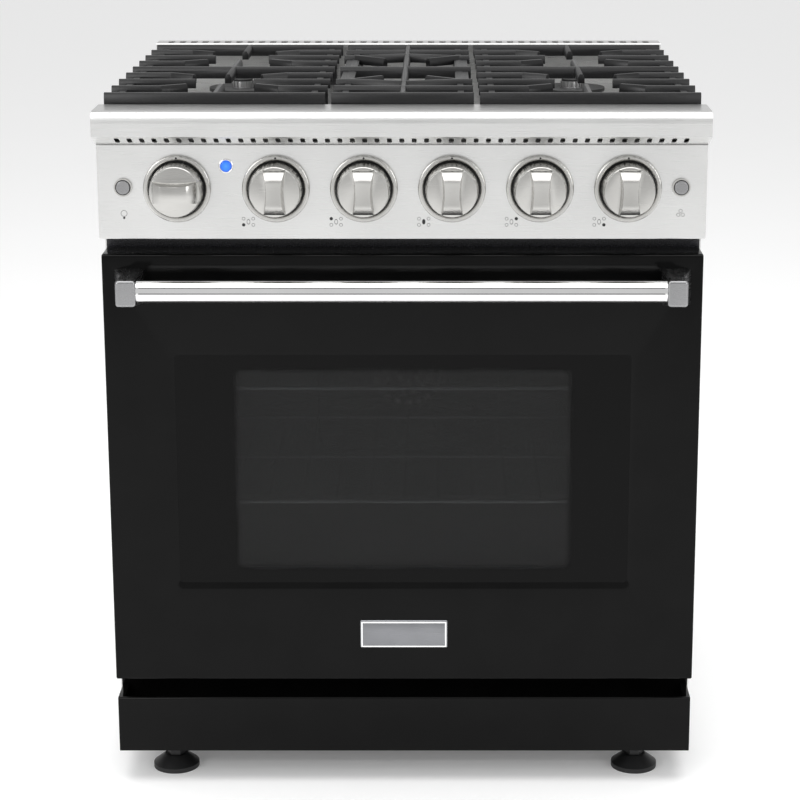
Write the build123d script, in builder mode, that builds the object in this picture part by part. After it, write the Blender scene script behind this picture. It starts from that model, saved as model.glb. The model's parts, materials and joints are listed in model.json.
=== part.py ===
"""Freestanding gas range, 30-inch class, as separate pieces in one frame.

Millimetres, +Z up, front towards -Y, origin at the centre of the overall box on the floor.
"""

from build123d import *
import os

os.makedirs("parts", exist_ok=True)

# ---------------------------------------------------------------- driving dimensions
overall_width = 759.0  # across the ends of the bullnose
overall_depth = 753.0  # face of the handle brackets to the back of the rear trim
cooktop_height = 896.0  # floor to the bullnose top, levelling legs screwed in
sheet = 1.5  # wall of every folded sheet
fit_gap = 0.3  # between neighbouring pieces that only meet
running_gap = 0.06  # radial clearance of a turning or sliding fit

# widths
body_inset = 1.5  # bullnose end beyond the side panel
door_inset = 1.5  # side panel beyond the door edge

# heights, counted down from the bullnose top
grate_rise = 13.0  # grate top above the bullnose
bullnose_front = 30.5  # height of the bullnose front face
panel_drop = 44.0  # bullnose top to control panel top
panel_height = 119.0
panel_door_gap = 19.5
deck_drop = 46.0  # bullnose top to the burner deck
rim_drop = 30.0  # bullnose top to the rim of the deck
# heights, counted up from the floor
leg_height = 46.0  # floor to the underside of the base
kick_height = 75.0
kick_door_gap = 26.0
cavity_lift = 88.0  # door bottom to the oven floor level
cavity_head = 73.5  # door top down to the oven ceiling

# depths, counted back from the front of the bullnose
handle_reach = 42.0  # bracket face in front of the bullnose
face_setback = 30.0  # door and control panel face behind the bullnose front
door_thickness = 47.0
seal_gap = 4.0  # closed door to the oven frame
bullnose_depth = 75.0
rear_trim_depth = 44.0
rear_recess = 25.0  # rear panel in front of the back of the trim
panel_depth = 40.0

overall_top = cooktop_height + grate_rise
nose_y = -overall_depth / 2 + handle_reach
back_y = overall_depth / 2
face_y = nose_y + face_setback
door_back_y = face_y + door_thickness
frame_y = door_back_y + seal_gap
rear_panel_y = back_y - rear_recess
trim_y = back_y - rear_trim_depth
bullnose_back_y = nose_y + bullnose_depth

body_half = overall_width / 2 - body_inset
door_half = body_half - door_inset

panel_top = cooktop_height - panel_drop
panel_bottom = panel_top - panel_height
door_top = panel_bottom - panel_door_gap
kick_top = leg_height + kick_height
door_bottom = kick_top + kick_door_gap
deck_z = cooktop_height - deck_drop
rim_z = cooktop_height - rim_drop
deck_base_z = deck_z - 4.0
cavity_floor = door_bottom + cavity_lift
cavity_top = door_top - cavity_head

# oven cavity
cavity_half = body_half - 78.0
cavity_depth = 480.0
cavity_back_y = frame_y + cavity_depth
flange_bottom = cavity_floor - 60.0

# grates
centre_grate_width = 179.0
grate_gap = 7.5
grate_overhang = 4.0  # body side beyond the outer bar ends
grate_bar_pitches = 8
grate_front_setback = 87.0  # front bar behind the bullnose front
grate_back_gap = 20.0  # rear bar to the rear trim
grate_front_y = nose_y + grate_front_setback
grate_back_y = trim_y - grate_back_gap
grate_pitch = (grate_back_y - grate_front_y) / grate_bar_pitches
grate_top = overall_top
side_grate_width = body_half - grate_overhang - centre_grate_width / 2 - grate_gap
side_grate_x = centre_grate_width / 2 + grate_gap + side_grate_width / 2
bar_width = 9.0
bar_height = 16.0
finger_height = 12.0

# burners
burner_y_front = grate_front_y + 2 * grate_pitch
burner_y_back = grate_front_y + 6 * grate_pitch
burner_y_centre = grate_front_y + 4 * grate_pitch
burner_spots = [
    (-side_grate_x, burner_y_front),
    (-side_grate_x, burner_y_back),
    (side_grate_x, burner_y_back),
    (side_grate_x, burner_y_front),
]
burner_radius = 48.0
burner_tower_radius = 15.5
burner_throat_radius = 28.0
centre_throat_radius = 20.0
oval_length = 150.0
oval_width = 56.0

# controls
knob_z = panel_top - 55.0
oven_knob_inset = 99.0  # body side to the axis of the oven knob
last_knob_inset = 98.1  # body side to the axis of the last burner knob
oven_knob_gap = 122.5  # oven knob axis to the first burner knob axis
oven_knob_x = oven_knob_inset - body_half
burner_knob_first_x = oven_knob_x + oven_knob_gap
burner_knob_pitch = (body_half - last_knob_inset - burner_knob_first_x) / 4
knob_names = ["oven", "front_left", "rear_left", "center", "rear_right", "front_right"]
knob_x = [oven_knob_x] + [burner_knob_first_x + n * burner_knob_pitch for n in range(5)]
knob_radius = 31.5  # at the rim
knob_back_radius = 34.0  # at the back of the skirt
knob_push = 3.0
knob_back_gap = knob_push + 1.0  # panel face to the back of the skirt at rest
knob_rim = 31.0  # panel face to the rim of the knob
knob_grip = 17.0  # grip in front of the rim
bezel_radius = 42.0
bezel_bore_radius = 35.5
bezel_height = 6.0
stem_radius = 4.0
stem_flat = 3.0  # stem axis to its flat
hub_radius = 9.0
button_x = body_half - 32.0
button_z = knob_z + 1.5
button_radius = 8.5
button_ring_radius = 11.3
button_push = 3.0
button_proud = button_push + 2.0
button_depth = 12.0  # behind the panel face
lamp_x = oven_knob_x + 61.0
lamp_z = knob_z + 28.0
lamp_radius = 7.0

# gas
manifold_radius = 11.0
manifold_setback = 60.0  # manifold axis behind the panel face
manifold_half = body_half - 48.0
valve_size = 26.0

# window, glass and badge
window_side = 87.5  # door edge to the window opening
window_bottom = 133.0  # door bottom to the window opening
window_top = 129.5  # door top to the window opening
window_bevel = 8.5
skin = 2.5
glass = 4.0
window_half = door_half - window_side
window_low = door_bottom + window_bottom
window_high = door_top - window_top
window_z = (window_low + window_high) / 2
window_height = window_high - window_low
badge_width = 114.0
badge_height = 38.0
badge_lift = 64.0

# handle
handle_radius = 14.0
handle_drop = 35.5
handle_standoff = 56.0
bracket_x = door_half - 38.5
bracket_width = 25.0
bracket_height = 33.0
socket_depth = 6.0
handle_z = door_top - handle_drop
handle_y = face_y - handle_standoff
bracket_y = nose_y - handle_reach

# hinge
hinge_z = door_bottom + 13.0
hinge_y = face_y + 30.0
hinge_x = door_half - 46.5
pin_radius = 4.0
knuckle_radius = 9.0

# racks
rack_wire = 3.0  # radius of the outer wire
rack_rod = 2.0  # radius of the bars
rack_side_gap = 8.0
rack_levels = [134.0, 288.0]  # above the oven floor level
rack_front_gap = 18.0
rack_back_gap = 42.0
rack_bar_pitch = 44.8
rack_corner = 14.0

# legs
leg_x = body_half - 70.0
leg_setback = 11.0  # leg axis behind the oven frame
leg_radius = 30.5
stud_radius = 6.0


def write(shape, name):
    """Label a finished piece and write it as its own file."""
    shape.label = name
    export_step(shape, f"parts/{name}.step")


def box_between(low, high, mode=Mode.ADD):
    """A box between two corners, joined to or cut from the open part."""
    centre = [(a + b) / 2 for a, b in zip(low, high)]
    size = [b - a for a, b in zip(low, high)]
    with Locations(tuple(centre)):
        Box(*size, mode=mode)


def tube_y(x, z, y_from, y_to, radius, mode=Mode.ADD):
    """A round bar along Y between two depths."""
    with Locations(Location((x, (y_from + y_to) / 2, z), (90, 0, 0))):
        Cylinder(radius, abs(y_to - y_from), mode=mode)


def tube_x(y, z, x_from, x_to, radius, mode=Mode.ADD):
    """A round bar along X between two sides."""
    with Locations(Location(((x_from + x_to) / 2, y, z), (0, 90, 0))):
        Cylinder(radius, abs(x_to - x_from), mode=mode)


# ---------------------------------------------------------------- chassis
chassis_back = rear_panel_y - sheet - fit_gap
ear_front = face_y + panel_depth + fit_gap
screw_x = body_half - 10.0
screw_levels = [leg_height + 60.0, (leg_height + deck_base_z) / 2, deck_base_z - 60.0]
screw_radius = 2.0
for side, name in ((-1, "side_panel_left"), (1, "side_panel_right")):
    outer_x = side * body_half
    with BuildPart() as side_panel:
        with BuildSketch(Plane.YZ.offset(outer_x)):
            with BuildLine():
                Polyline(
                    (frame_y, leg_height),
                    (frame_y, panel_bottom),
                    (ear_front, panel_bottom),
                    (ear_front, deck_base_z - fit_gap),
                    (chassis_back, deck_base_z - fit_gap),
                    (chassis_back, leg_height),
                    close=True,
                )
            make_face()
        extrude(amount=-side * sheet)
        flange_low = (outer_x - side * sheet, chassis_back - sheet, leg_height + 20)
        flange_high = (outer_x - side * 20, chassis_back, deck_base_z - 20)
        box_between(
            [min(a, b) for a, b in zip(flange_low, flange_high)],
            [max(a, b) for a, b in zip(flange_low, flange_high)],
        )
        for level in screw_levels:
            tube_y(
                side * screw_x,
                level,
                chassis_back - sheet - 1,
                chassis_back + 1,
                screw_radius + fit_gap,
                Mode.SUBTRACT,
            )
    write(side_panel.part, name)

gas_inlet_x = 250.0
gas_inlet_z = leg_height + 60.0
cord_x = -250.0
cord_z = leg_height + 60.0
gland_radius = 11.0
inlet_hole_radius = 16.0
louvre_drop = 110.0  # deck base to the middle of the louvres
louvre_pitch = (28.0, 26.0)
louvre_count = (15, 3)
louvre_size = (18.0, 6.0)
with BuildPart() as rear_panel:
    box_between(
        (-body_half, rear_panel_y - sheet, leg_height),
        (body_half, rear_panel_y, deck_base_z - fit_gap),
    )
    for level in screw_levels:
        for side in (-1, 1):
            tube_y(
                side * screw_x,
                level,
                rear_panel_y - 3,
                rear_panel_y + 1,
                screw_radius + fit_gap,
                Mode.SUBTRACT,
            )
    tube_y(gas_inlet_x, gas_inlet_z, rear_panel_y - 3, rear_panel_y + 1, inlet_hole_radius, Mode.SUBTRACT)
    tube_y(cord_x, cord_z, rear_panel_y - 3, rear_panel_y + 1, gland_radius, Mode.SUBTRACT)
    with BuildSketch(Plane.XZ.offset(-rear_panel_y)):
        with Locations((0, deck_base_z - louvre_drop)):
            with GridLocations(*louvre_pitch, *louvre_count):
                SlotOverall(*louvre_size)
    extrude(amount=2 * sheet, mode=Mode.SUBTRACT)
write(rear_panel.part, "rear_panel")

with BuildPart() as case_screws:
    for level in screw_levels:
        for side in (-1, 1):
            tube_y(side * screw_x, level, rear_panel_y - sheet - 8, rear_panel_y, screw_radius)
            tube_y(side * screw_x, level, rear_panel_y, rear_panel_y + 2.5, 2.2 * screw_radius)
write(case_screws.part, "case_screws")

inner_half = body_half - sheet - fit_gap
leg_spots = [(side * leg_x, y) for side in (-1, 1) for y in (frame_y + leg_setback, rear_panel_y - 60)]
nut_height = 18.0
base_front_top = flange_bottom - fit_gap
slot_half = 9.0
with BuildPart() as base_pan:
    box_between(
        (-inner_half, frame_y, leg_height),
        (inner_half, rear_panel_y - sheet - fit_gap, leg_height + sheet),
    )
    box_between(
        (-inner_half, frame_y, leg_height),
        (inner_half, frame_y + sheet, base_front_top),
    )
    for side in (-1, 1):
        box_between(
            (side * hinge_x - slot_half, frame_y - 1, hinge_z - 14),
            (side * hinge_x + slot_half, frame_y + sheet + 1, base_front_top + 1),
            Mode.SUBTRACT,
        )
    with BuildSketch(Plane.XY.offset(leg_height)):
        with Locations(*leg_spots):
            RegularPolygon(12, 6)
    extrude(amount=nut_height)
    with BuildSketch(Plane.XY.offset(leg_height - 1)):
        with Locations(*leg_spots):
            Circle(stud_radius + running_gap)
    extrude(amount=nut_height + 2, mode=Mode.SUBTRACT)
write(base_pan.part, "base_pan")

foot_rim = 6.0
foot_cone_top = 18.0
with BuildPart() as leveling_legs:
    with BuildSketch():
        with Locations(*leg_spots):
            Circle(leg_radius)
    extrude(amount=foot_rim)
    for spot in leg_spots:
        with BuildSketch(Plane.XY.offset(foot_rim)):
            with Locations(spot):
                Circle(leg_radius)
        with BuildSketch(Plane.XY.offset(foot_cone_top)):
            with Locations(spot):
                Circle(leg_radius / 2)
        loft()
    with BuildSketch(Plane.XY.offset(foot_cone_top)):
        with Locations(*leg_spots):
            RegularPolygon(12, 6)
    extrude(amount=8)
    with BuildSketch(Plane.XY.offset(foot_cone_top)):
        with Locations(*leg_spots):
            Circle(stud_radius)
    extrude(amount=leg_height + nut_height + 5 - foot_cone_top)
write(leveling_legs.part, "leveling_legs")

kick_y = face_y + 2.0
kick_half = door_half - 1.0
kick_lip = 5.0
kick_side_lip = 9.0
kick_back_y = frame_y - fit_gap
with BuildPart() as kick_panel:
    box_between((-kick_half, kick_y, leg_height), (kick_half, kick_back_y, kick_top))
    fillet(kick_panel.edges().filter_by(Axis.X).group_by(Axis.Y)[0].sort_by(Axis.Z)[-1], 2)
    box_between(
        (-kick_half + sheet, kick_y + sheet, leg_height - 1),
        (kick_half - sheet, kick_back_y + 1, kick_top - sheet),
        Mode.SUBTRACT,
    )
    box_between(
        (-kick_half + kick_side_lip, kick_y + kick_lip, kick_top - 2 * sheet),
        (kick_half - kick_side_lip, kick_back_y + 1, kick_top + 1),
        Mode.SUBTRACT,
    )
write(kick_panel.part, "kick_panel")

# ---------------------------------------------------------------- cooktop
deck_front_y = bullnose_back_y + fit_gap
deck_back_y = trim_y - fit_gap
deck_rim = 10.0
deck_end_rim = 5.0
with BuildPart() as cooktop_deck:
    box_between((-body_half, deck_front_y, deck_base_z), (body_half, deck_back_y, rim_z))
    box_between(
        (-body_half + deck_rim, deck_front_y + deck_end_rim, deck_z),
        (body_half - deck_rim, deck_back_y - deck_end_rim, rim_z + 1),
        Mode.SUBTRACT,
    )
    fillet(cooktop_deck.edges().filter_by(Axis.Z), 3)
    box_between(
        (-body_half + sheet, deck_front_y + sheet, deck_base_z - 1),
        (body_half - sheet, deck_back_y - sheet, deck_z - sheet),
        Mode.SUBTRACT,
    )
    with BuildSketch(Plane.XY.offset(deck_base_z)):
        with Locations(*burner_spots):
            Circle(burner_throat_radius + fit_gap)
        with Locations((0, burner_y_centre)):
            Circle(centre_throat_radius + fit_gap)
    extrude(amount=10, mode=Mode.SUBTRACT)
write(cooktop_deck.part, "cooktop_deck")

soffit_slots = 47
soffit_pitch = 15.2
soffit_slot = 6.0
nose_radius = 14.0
nose_foot_z = cooktop_height - bullnose_front
bullnose_back_radius = 3.0
soffit_slot_length = 20.0
soffit_cut = 6.0
soffit_foot_rise = 0.7  # hollow above the foot of the front face
soffit_back_step = 0.5  # hollow behind the panel face
bullnose_end_strip = 20.0
bullnose_side_strip = 12.0
bullnose_low_z = panel_top + fit_gap
with BuildPart() as bullnose:
    with BuildSketch(Plane.YZ.offset(-overall_width / 2)):
        with BuildLine():
            Polyline(
                (nose_y, nose_foot_z),
                (nose_y, cooktop_height),
                (bullnose_back_y, cooktop_height),
                (bullnose_back_y, bullnose_low_z),
                (face_y, bullnose_low_z),
                close=True,
            )
        make_face()
        fillet(vertices().group_by(Axis.X)[0].sort_by(Axis.Y)[-1], nose_radius)
        fillet(vertices().group_by(Axis.X)[-1].sort_by(Axis.Y)[-1], bullnose_back_radius)
    extrude(amount=overall_width)
    with BuildSketch(Plane.YZ.offset(-overall_width / 2 + sheet)):
        with BuildLine():
            Polyline(
                (nose_y + sheet, nose_foot_z + soffit_foot_rise),
                (nose_y + sheet, cooktop_height - sheet),
                (bullnose_back_y - sheet, cooktop_height - sheet),
                (bullnose_back_y - sheet, bullnose_low_z + sheet),
                (face_y + soffit_back_step, bullnose_low_z + sheet),
                close=True,
            )
        make_face()
        fillet(vertices().group_by(Axis.X)[0].sort_by(Axis.Y)[-1], nose_radius - sheet)
    extrude(amount=overall_width - 2 * sheet, mode=Mode.SUBTRACT)
    box_between(
        (-body_half + bullnose_end_strip, face_y + bullnose_side_strip, bullnose_low_z - 1),
        (
            body_half - bullnose_end_strip,
            bullnose_back_y - bullnose_side_strip,
            bullnose_low_z + sheet + 1,
        ),
        Mode.SUBTRACT,
    )
    soffit_mid_y = (nose_y + face_y) / 2
    soffit_mid_z = (nose_foot_z + bullnose_low_z) / 2
    soffit = Plane(
        origin=(0, soffit_mid_y, soffit_mid_z),
        x_dir=(1, 0, 0),
        z_dir=(0, bullnose_low_z - nose_foot_z, nose_y - face_y),
    )
    with BuildSketch(soffit):
        with GridLocations(soffit_pitch, 0, soffit_slots, 1):
            SlotOverall(soffit_slot_length, soffit_slot, rotation=90)
    extrude(amount=soffit_cut, both=True, mode=Mode.SUBTRACT)
write(bullnose.part, "bullnose")

trim_slots = 43
trim_pitch = 17.0
trim_slot_length = 24.0
trim_slot_width = 9.5
with BuildPart() as rear_trim:
    box_between((-body_half, trim_y, deck_base_z), (body_half, back_y, overall_top))
    fillet(rear_trim.edges().filter_by(Axis.X).group_by(Axis.Z)[-1], 2)
    box_between(
        (-body_half + sheet, trim_y + sheet, deck_base_z - 1),
        (body_half - sheet, back_y - sheet, overall_top - sheet),
        Mode.SUBTRACT,
    )
    with BuildSketch(Plane.XY.offset(overall_top + 1)):
        with Locations((0, (trim_y + back_y) / 2)):
            with GridLocations(trim_pitch, 0, trim_slots, 1):
                SlotOverall(trim_slot_length, trim_slot_width, rotation=90)
    extrude(amount=-4, mode=Mode.SUBTRACT)
write(rear_trim.part, "rear_trim")

# burners
burner_base_z = deck_z
burner_ring_z = burner_base_z + 4.0
burner_cap_z = burner_base_z + 9.0
burner_cap_height = 5.0
tower_top = burner_base_z + 23.0
throat_z = deck_base_z - 24.0
burner_flange = 6.0  # foot ring beyond the cap
burner_inset = 3.0  # flame ring inside the cap's edge
port_count = 36
port_size = (8.0, 2.0)
notch_count = 16
notch_size = (5.0, 2.4)
notch_depth = 9.0
tower_cap_height = 3.0
with BuildPart() as burner_heads:
    with BuildSketch(Plane.XY.offset(throat_z)):
        with Locations(*burner_spots):
            Circle(burner_throat_radius)
    extrude(amount=burner_base_z - throat_z)
    with BuildSketch(Plane.XY.offset(burner_base_z)):
        with Locations(*burner_spots):
            Circle(burner_radius + burner_flange)
    extrude(amount=burner_ring_z - burner_base_z)
    with BuildSketch(Plane.XY.offset(burner_ring_z)):
        with Locations(*burner_spots):
            Circle(burner_radius - burner_inset)
    extrude(amount=burner_cap_z - burner_ring_z)
    with BuildSketch(Plane.XY.offset(burner_cap_z)):
        with Locations(*burner_spots):
            Circle(burner_tower_radius)
    extrude(amount=tower_top - burner_cap_z)
    with BuildSketch(Plane.XY.offset(burner_ring_z + 1)):
        with Locations(*burner_spots):
            with PolarLocations(burner_radius - burner_inset, port_count):
                Rectangle(*port_size)
    extrude(amount=burner_cap_z - burner_ring_z, mode=Mode.SUBTRACT)
    with BuildSketch(Plane.XY.offset(tower_top - notch_depth)):
        with Locations(*burner_spots):
            with PolarLocations(burner_tower_radius, notch_count):
                Rectangle(*notch_size)
    extrude(amount=notch_depth + 1, mode=Mode.SUBTRACT)
write(burner_heads.part, "burner_heads")

with BuildPart() as burner_caps:
    with BuildSketch(Plane.XY.offset(burner_cap_z)):
        with Locations(*burner_spots):
            Circle(burner_radius)
            Circle(burner_tower_radius + 0.5, mode=Mode.SUBTRACT)
    extrude(amount=burner_cap_height)
    with BuildSketch(Plane.XY.offset(tower_top)):
        with Locations(*burner_spots):
            Circle(burner_tower_radius - 1.5)
    extrude(amount=tower_cap_height)
write(burner_caps.part, "burner_caps")

oval_flange = 10.0  # foot ring wider than the cap
oval_inset = 6.0  # flame ring narrower than the cap
with BuildPart() as center_burner_head:
    with BuildSketch(Plane.XY.offset(throat_z)):
        with Locations((0, burner_y_centre)):
            Circle(centre_throat_radius)
    extrude(amount=burner_base_z - throat_z)
    with BuildSketch(Plane.XY.offset(burner_base_z)):
        with Locations((0, burner_y_centre)):
            SlotOverall(oval_length + oval_flange, oval_width + oval_flange, rotation=90)
    extrude(amount=burner_ring_z - burner_base_z)
    with BuildSketch(Plane.XY.offset(burner_ring_z)):
        with Locations((0, burner_y_centre)):
            SlotOverall(oval_length - oval_inset, oval_width - oval_inset, rotation=90)
    extrude(amount=burner_cap_z - burner_ring_z)
write(center_burner_head.part, "center_burner_head")

with BuildPart() as center_burner_cap:
    with BuildSketch(Plane.XY.offset(burner_cap_z)):
        with Locations((0, burner_y_centre)):
            SlotOverall(oval_length, oval_width, rotation=90)
    extrude(amount=burner_cap_height)
    fillet(center_burner_cap.edges().group_by(Axis.Z)[-1], 2)
write(center_burner_cap.part, "center_burner_cap")

spark_gap = 12.0  # burner edge to the electrode
spark_radius = 4.0
spark_height = 8.0
spark_wire_radius = 1.0
spark_wire = 5.0
spark_spots = [(x, y - burner_radius - spark_gap) for x, y in burner_spots]
spark_spots.append((0, burner_y_centre - oval_length / 2 - spark_gap))
with BuildPart() as spark_electrodes:
    with BuildSketch(Plane.XY.offset(deck_z)):
        with Locations(*spark_spots):
            Circle(spark_radius)
    extrude(amount=spark_height)
    with BuildSketch(Plane.XY.offset(deck_z + spark_height)):
        with Locations(*spark_spots):
            Circle(spark_wire_radius)
    extrude(amount=spark_wire)
write(spark_electrodes.part, "spark_electrodes")

# ---------------------------------------------------------------- grates
bar_top_width = 4.4
bar_slope = 5.0


def grate_bar(start, end, height):
    """A cast bar with a ridged top between two points of the plan."""
    run = Vector(end[0] - start[0], end[1] - start[1], 0)
    section = Plane(
        origin=(start[0], start[1], grate_top),
        x_dir=(-run.Y, run.X, 0),
        z_dir=(run.X, run.Y, 0),
    )
    with BuildSketch(section) as profile:
        with BuildLine():
            Polyline(
                (-bar_width / 2, -height),
                (bar_width / 2, -height),
                (bar_width / 2, -bar_slope),
                (bar_top_width / 2, 0),
                (-bar_top_width / 2, 0),
                (-bar_width / 2, -bar_slope),
                close=True,
            )
        make_face()
    extrude(profile.sketch, amount=run.length)


def grate_row(number):
    """Depth of a numbered cross bar, counted from the front."""
    return grate_front_y + number * grate_pitch


rail_width = 8.0
rail_top_drop = 5.5
rail_height = 19.0
rail_inset = 16.0
foot_size = 12.0
foot_gap = fit_gap


def grate_frame(centre_x, half):
    """The side rails and the feet that carry a grate."""
    for side in (-1, 1):
        rail_x = centre_x + side * (half - rail_inset)
        box_between(
            (rail_x - rail_width / 2, grate_row(0), grate_top - rail_top_drop - rail_height),
            (rail_x + rail_width / 2, grate_row(8), grate_top - rail_top_drop),
        )
        for row in (0, 4, 8):
            y = grate_row(row)
            box_between(
                (rail_x - foot_size / 2, y - bar_width / 2, deck_z + foot_gap),
                (rail_x + foot_size / 2, y + bar_width / 2, grate_top - 8),
            )


finger_bend = 77.0  # burner axis to the bend of the outer fingers
finger_tip = 45.0  # burner axis to the tips of the outer fingers
middle_tip = 38.0  # burner axis to the tips of the straight finger
finger_shift = 20.0  # how far the tips lean towards the burner
fore_tip = 50.0  # burner axis to the tips of the fore-and-aft fingers

for side, name in ((-1, "grate_left"), (1, "grate_right")):
    cx = side * side_grate_x
    half = side_grate_width / 2
    with BuildPart() as grate:
        for row in (0, 4, 8):
            grate_bar((cx - half, grate_row(row)), (cx + half, grate_row(row)), bar_height)
        for hand in (-1, 1):
            for row, burner_row in ((1, 2), (3, 2), (5, 6), (7, 6)):
                lean = finger_shift * (1 if row < burner_row else -1)
                y = grate_row(row)
                bend = (cx + hand * finger_bend, y)
                grate_bar((cx + hand * half, y), (cx + hand * (finger_bend - 2), y), finger_height)
                grate_bar(bend, (cx + hand * finger_tip, y + lean), finger_height)
            for row in (2, 6):
                y = grate_row(row)
                grate_bar((cx + hand * half, y), (cx + hand * middle_tip, y), finger_height)
        grate_bar((cx, grate_row(0)), (cx, grate_row(2) - fore_tip), finger_height)
        grate_bar((cx, grate_row(2) + fore_tip), (cx, grate_row(6) - fore_tip), finger_height)
        grate_bar((cx, grate_row(6) + fore_tip), (cx, grate_row(8)), finger_height)
        grate_frame(cx, half)
    write(grate.part, name)

centre_bow = 20.0
centre_web = 22.0
with BuildPart() as grate_center:
    half = centre_grate_width / 2
    for row in (0, 1, 4, 7, 8):
        grate_bar((-half, grate_row(row)), (half, grate_row(row)), bar_height)
    for row, bow in ((2, -centre_bow), (6, centre_bow)):
        y = grate_row(row)
        for hand in (-1, 1):
            grate_bar((hand * half, y), (hand * (half - centre_web - 2), y), finger_height)
            grate_bar((hand * (half - centre_web), y), (0, y + bow), finger_height)
            tip = (hand * 30.0, y - 1.9 * bow)
            grate_bar((hand * (half - centre_web + 6), y), tip, finger_height)
    grate_bar((0, grate_row(0)), (0, grate_row(8)), bar_height)
    for hand in (-1, 1):
        edge = hand * (half - 4)
        inner = hand * (half - centre_web)
        box_between(
            (min(edge, inner), grate_row(2), grate_top - 14),
            (max(edge, inner), grate_row(6), grate_top - 6),
        )
    grate_frame(0, half)
write(grate_center.part, "grate_center")

# ---------------------------------------------------------------- control panel
panel_plane = Plane(origin=(0, face_y, 0), x_dir=(1, 0, 0), z_dir=(0, -1, 0))
knob_spots = [(x, knob_z) for x in knob_x]
button_spots = [(side * button_x, button_z) for side in (-1, 1)]
barrel_radius = button_ring_radius - 1.0
with BuildPart() as control_panel:
    box_between((-body_half, face_y, panel_bottom), (body_half, face_y + panel_depth, panel_top))
    fillet(control_panel.edges().filter_by(Axis.X).group_by(Axis.Y)[0], 1.5)
    box_between(
        (-body_half + sheet, face_y + sheet, panel_bottom + sheet),
        (body_half - sheet, face_y + panel_depth + 1, panel_top - sheet),
        Mode.SUBTRACT,
    )
    with BuildSketch(panel_plane):
        with Locations(*knob_spots):
            Circle(2 * stem_radius)
        with Locations(*button_spots):
            Circle(barrel_radius + fit_gap)
        with Locations((lamp_x, lamp_z)):
            Circle(lamp_radius - 2 + fit_gap)
    extrude(amount=-3 * sheet, mode=Mode.SUBTRACT)
write(control_panel.part, "control_panel")

button_ring_height = 3.5
button_barrel = 20.0
with BuildPart() as trim_rings:
    with BuildSketch(panel_plane):
        with Locations(*knob_spots):
            Circle(bezel_radius)
            Circle(bezel_bore_radius, mode=Mode.SUBTRACT)
        with Locations(*button_spots):
            Circle(button_ring_radius)
    extrude(amount=button_ring_height)
    with BuildSketch(panel_plane.offset(button_ring_height)):
        with Locations(*knob_spots):
            Circle(bezel_radius)
            Circle(bezel_bore_radius, mode=Mode.SUBTRACT)
    extrude(amount=bezel_height - button_ring_height)
    crown = trim_rings.edges().filter_by(GeomType.CIRCLE).group_by(Axis.Y)[0]
    fillet(crown.filter_by(lambda edge: edge.radius > bezel_bore_radius - 1), 2.2)
    with BuildSketch(panel_plane.offset(-button_barrel)):
        with Locations(*button_spots):
            Circle(barrel_radius)
    extrude(amount=button_barrel)
    with BuildSketch(panel_plane.offset(-button_barrel - 1)):
        with Locations(*button_spots):
            Circle(button_radius + running_gap)
    extrude(amount=button_barrel + button_ring_height + 2, mode=Mode.SUBTRACT)
write(trim_rings.part, "trim_rings")

with BuildPart() as indicator_lens:
    with BuildSketch(panel_plane):
        with Locations((lamp_x, lamp_z)):
            Circle(lamp_radius)
    extrude(amount=3)
    fillet(indicator_lens.edges().group_by(Axis.Y)[0], 2)
    with BuildSketch(panel_plane):
        with Locations((lamp_x, lamp_z)):
            Circle(lamp_radius - 2)
    extrude(amount=-14)
write(indicator_lens.part, "indicator_lens")

for side, name in ((-1, "button_light"), (1, "button_fan")):
    with BuildPart() as button:
        with BuildSketch(panel_plane.offset(-button_depth)):
            with Locations((side * button_x, button_z)):
                Circle(button_radius)
        extrude(amount=button_depth + button_proud)
        fillet(button.edges().group_by(Axis.Y)[0], 1)
    write(button.part, name)

stem_inner = 36.0  # panel face to the inner end of the stem
stem_outer = 16.0  # panel face to the outer end of the stem
knob_bore_end = 23.0
knob_pocket_end = 20.0
grip_base_half = (11.5, 14.0)  # half width at the waist and at the ends
grip_top_half = (9.0, 12.0)
grip_base_length = 28.0
grip_top_length = 26.0
grip_flat = 16.0  # half length of the level crest
grip_end = knob_radius - 2.5  # half length of the grip at its root
grip_end_radius = 26.0
grip_root = 2.0  # how deep the grip is rooted in the skirt
knob_wall = 5.0
knob_rim_chamfer = 1.0
slack = 0.1


def grip_outline(plane, waist, end, reach):
    """The hourglass outline of the grip on a plane."""
    with BuildSketch(plane) as outline:
        with BuildLine():
            ThreePointArc((-end, -reach), (-waist, 0), (-end, reach))
            Line((-end, reach), (end, reach))
            ThreePointArc((end, reach), (waist, 0), (end, -reach))
            Line((end, -reach), (-end, -reach))
        make_face()
    return outline.sketch


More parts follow.
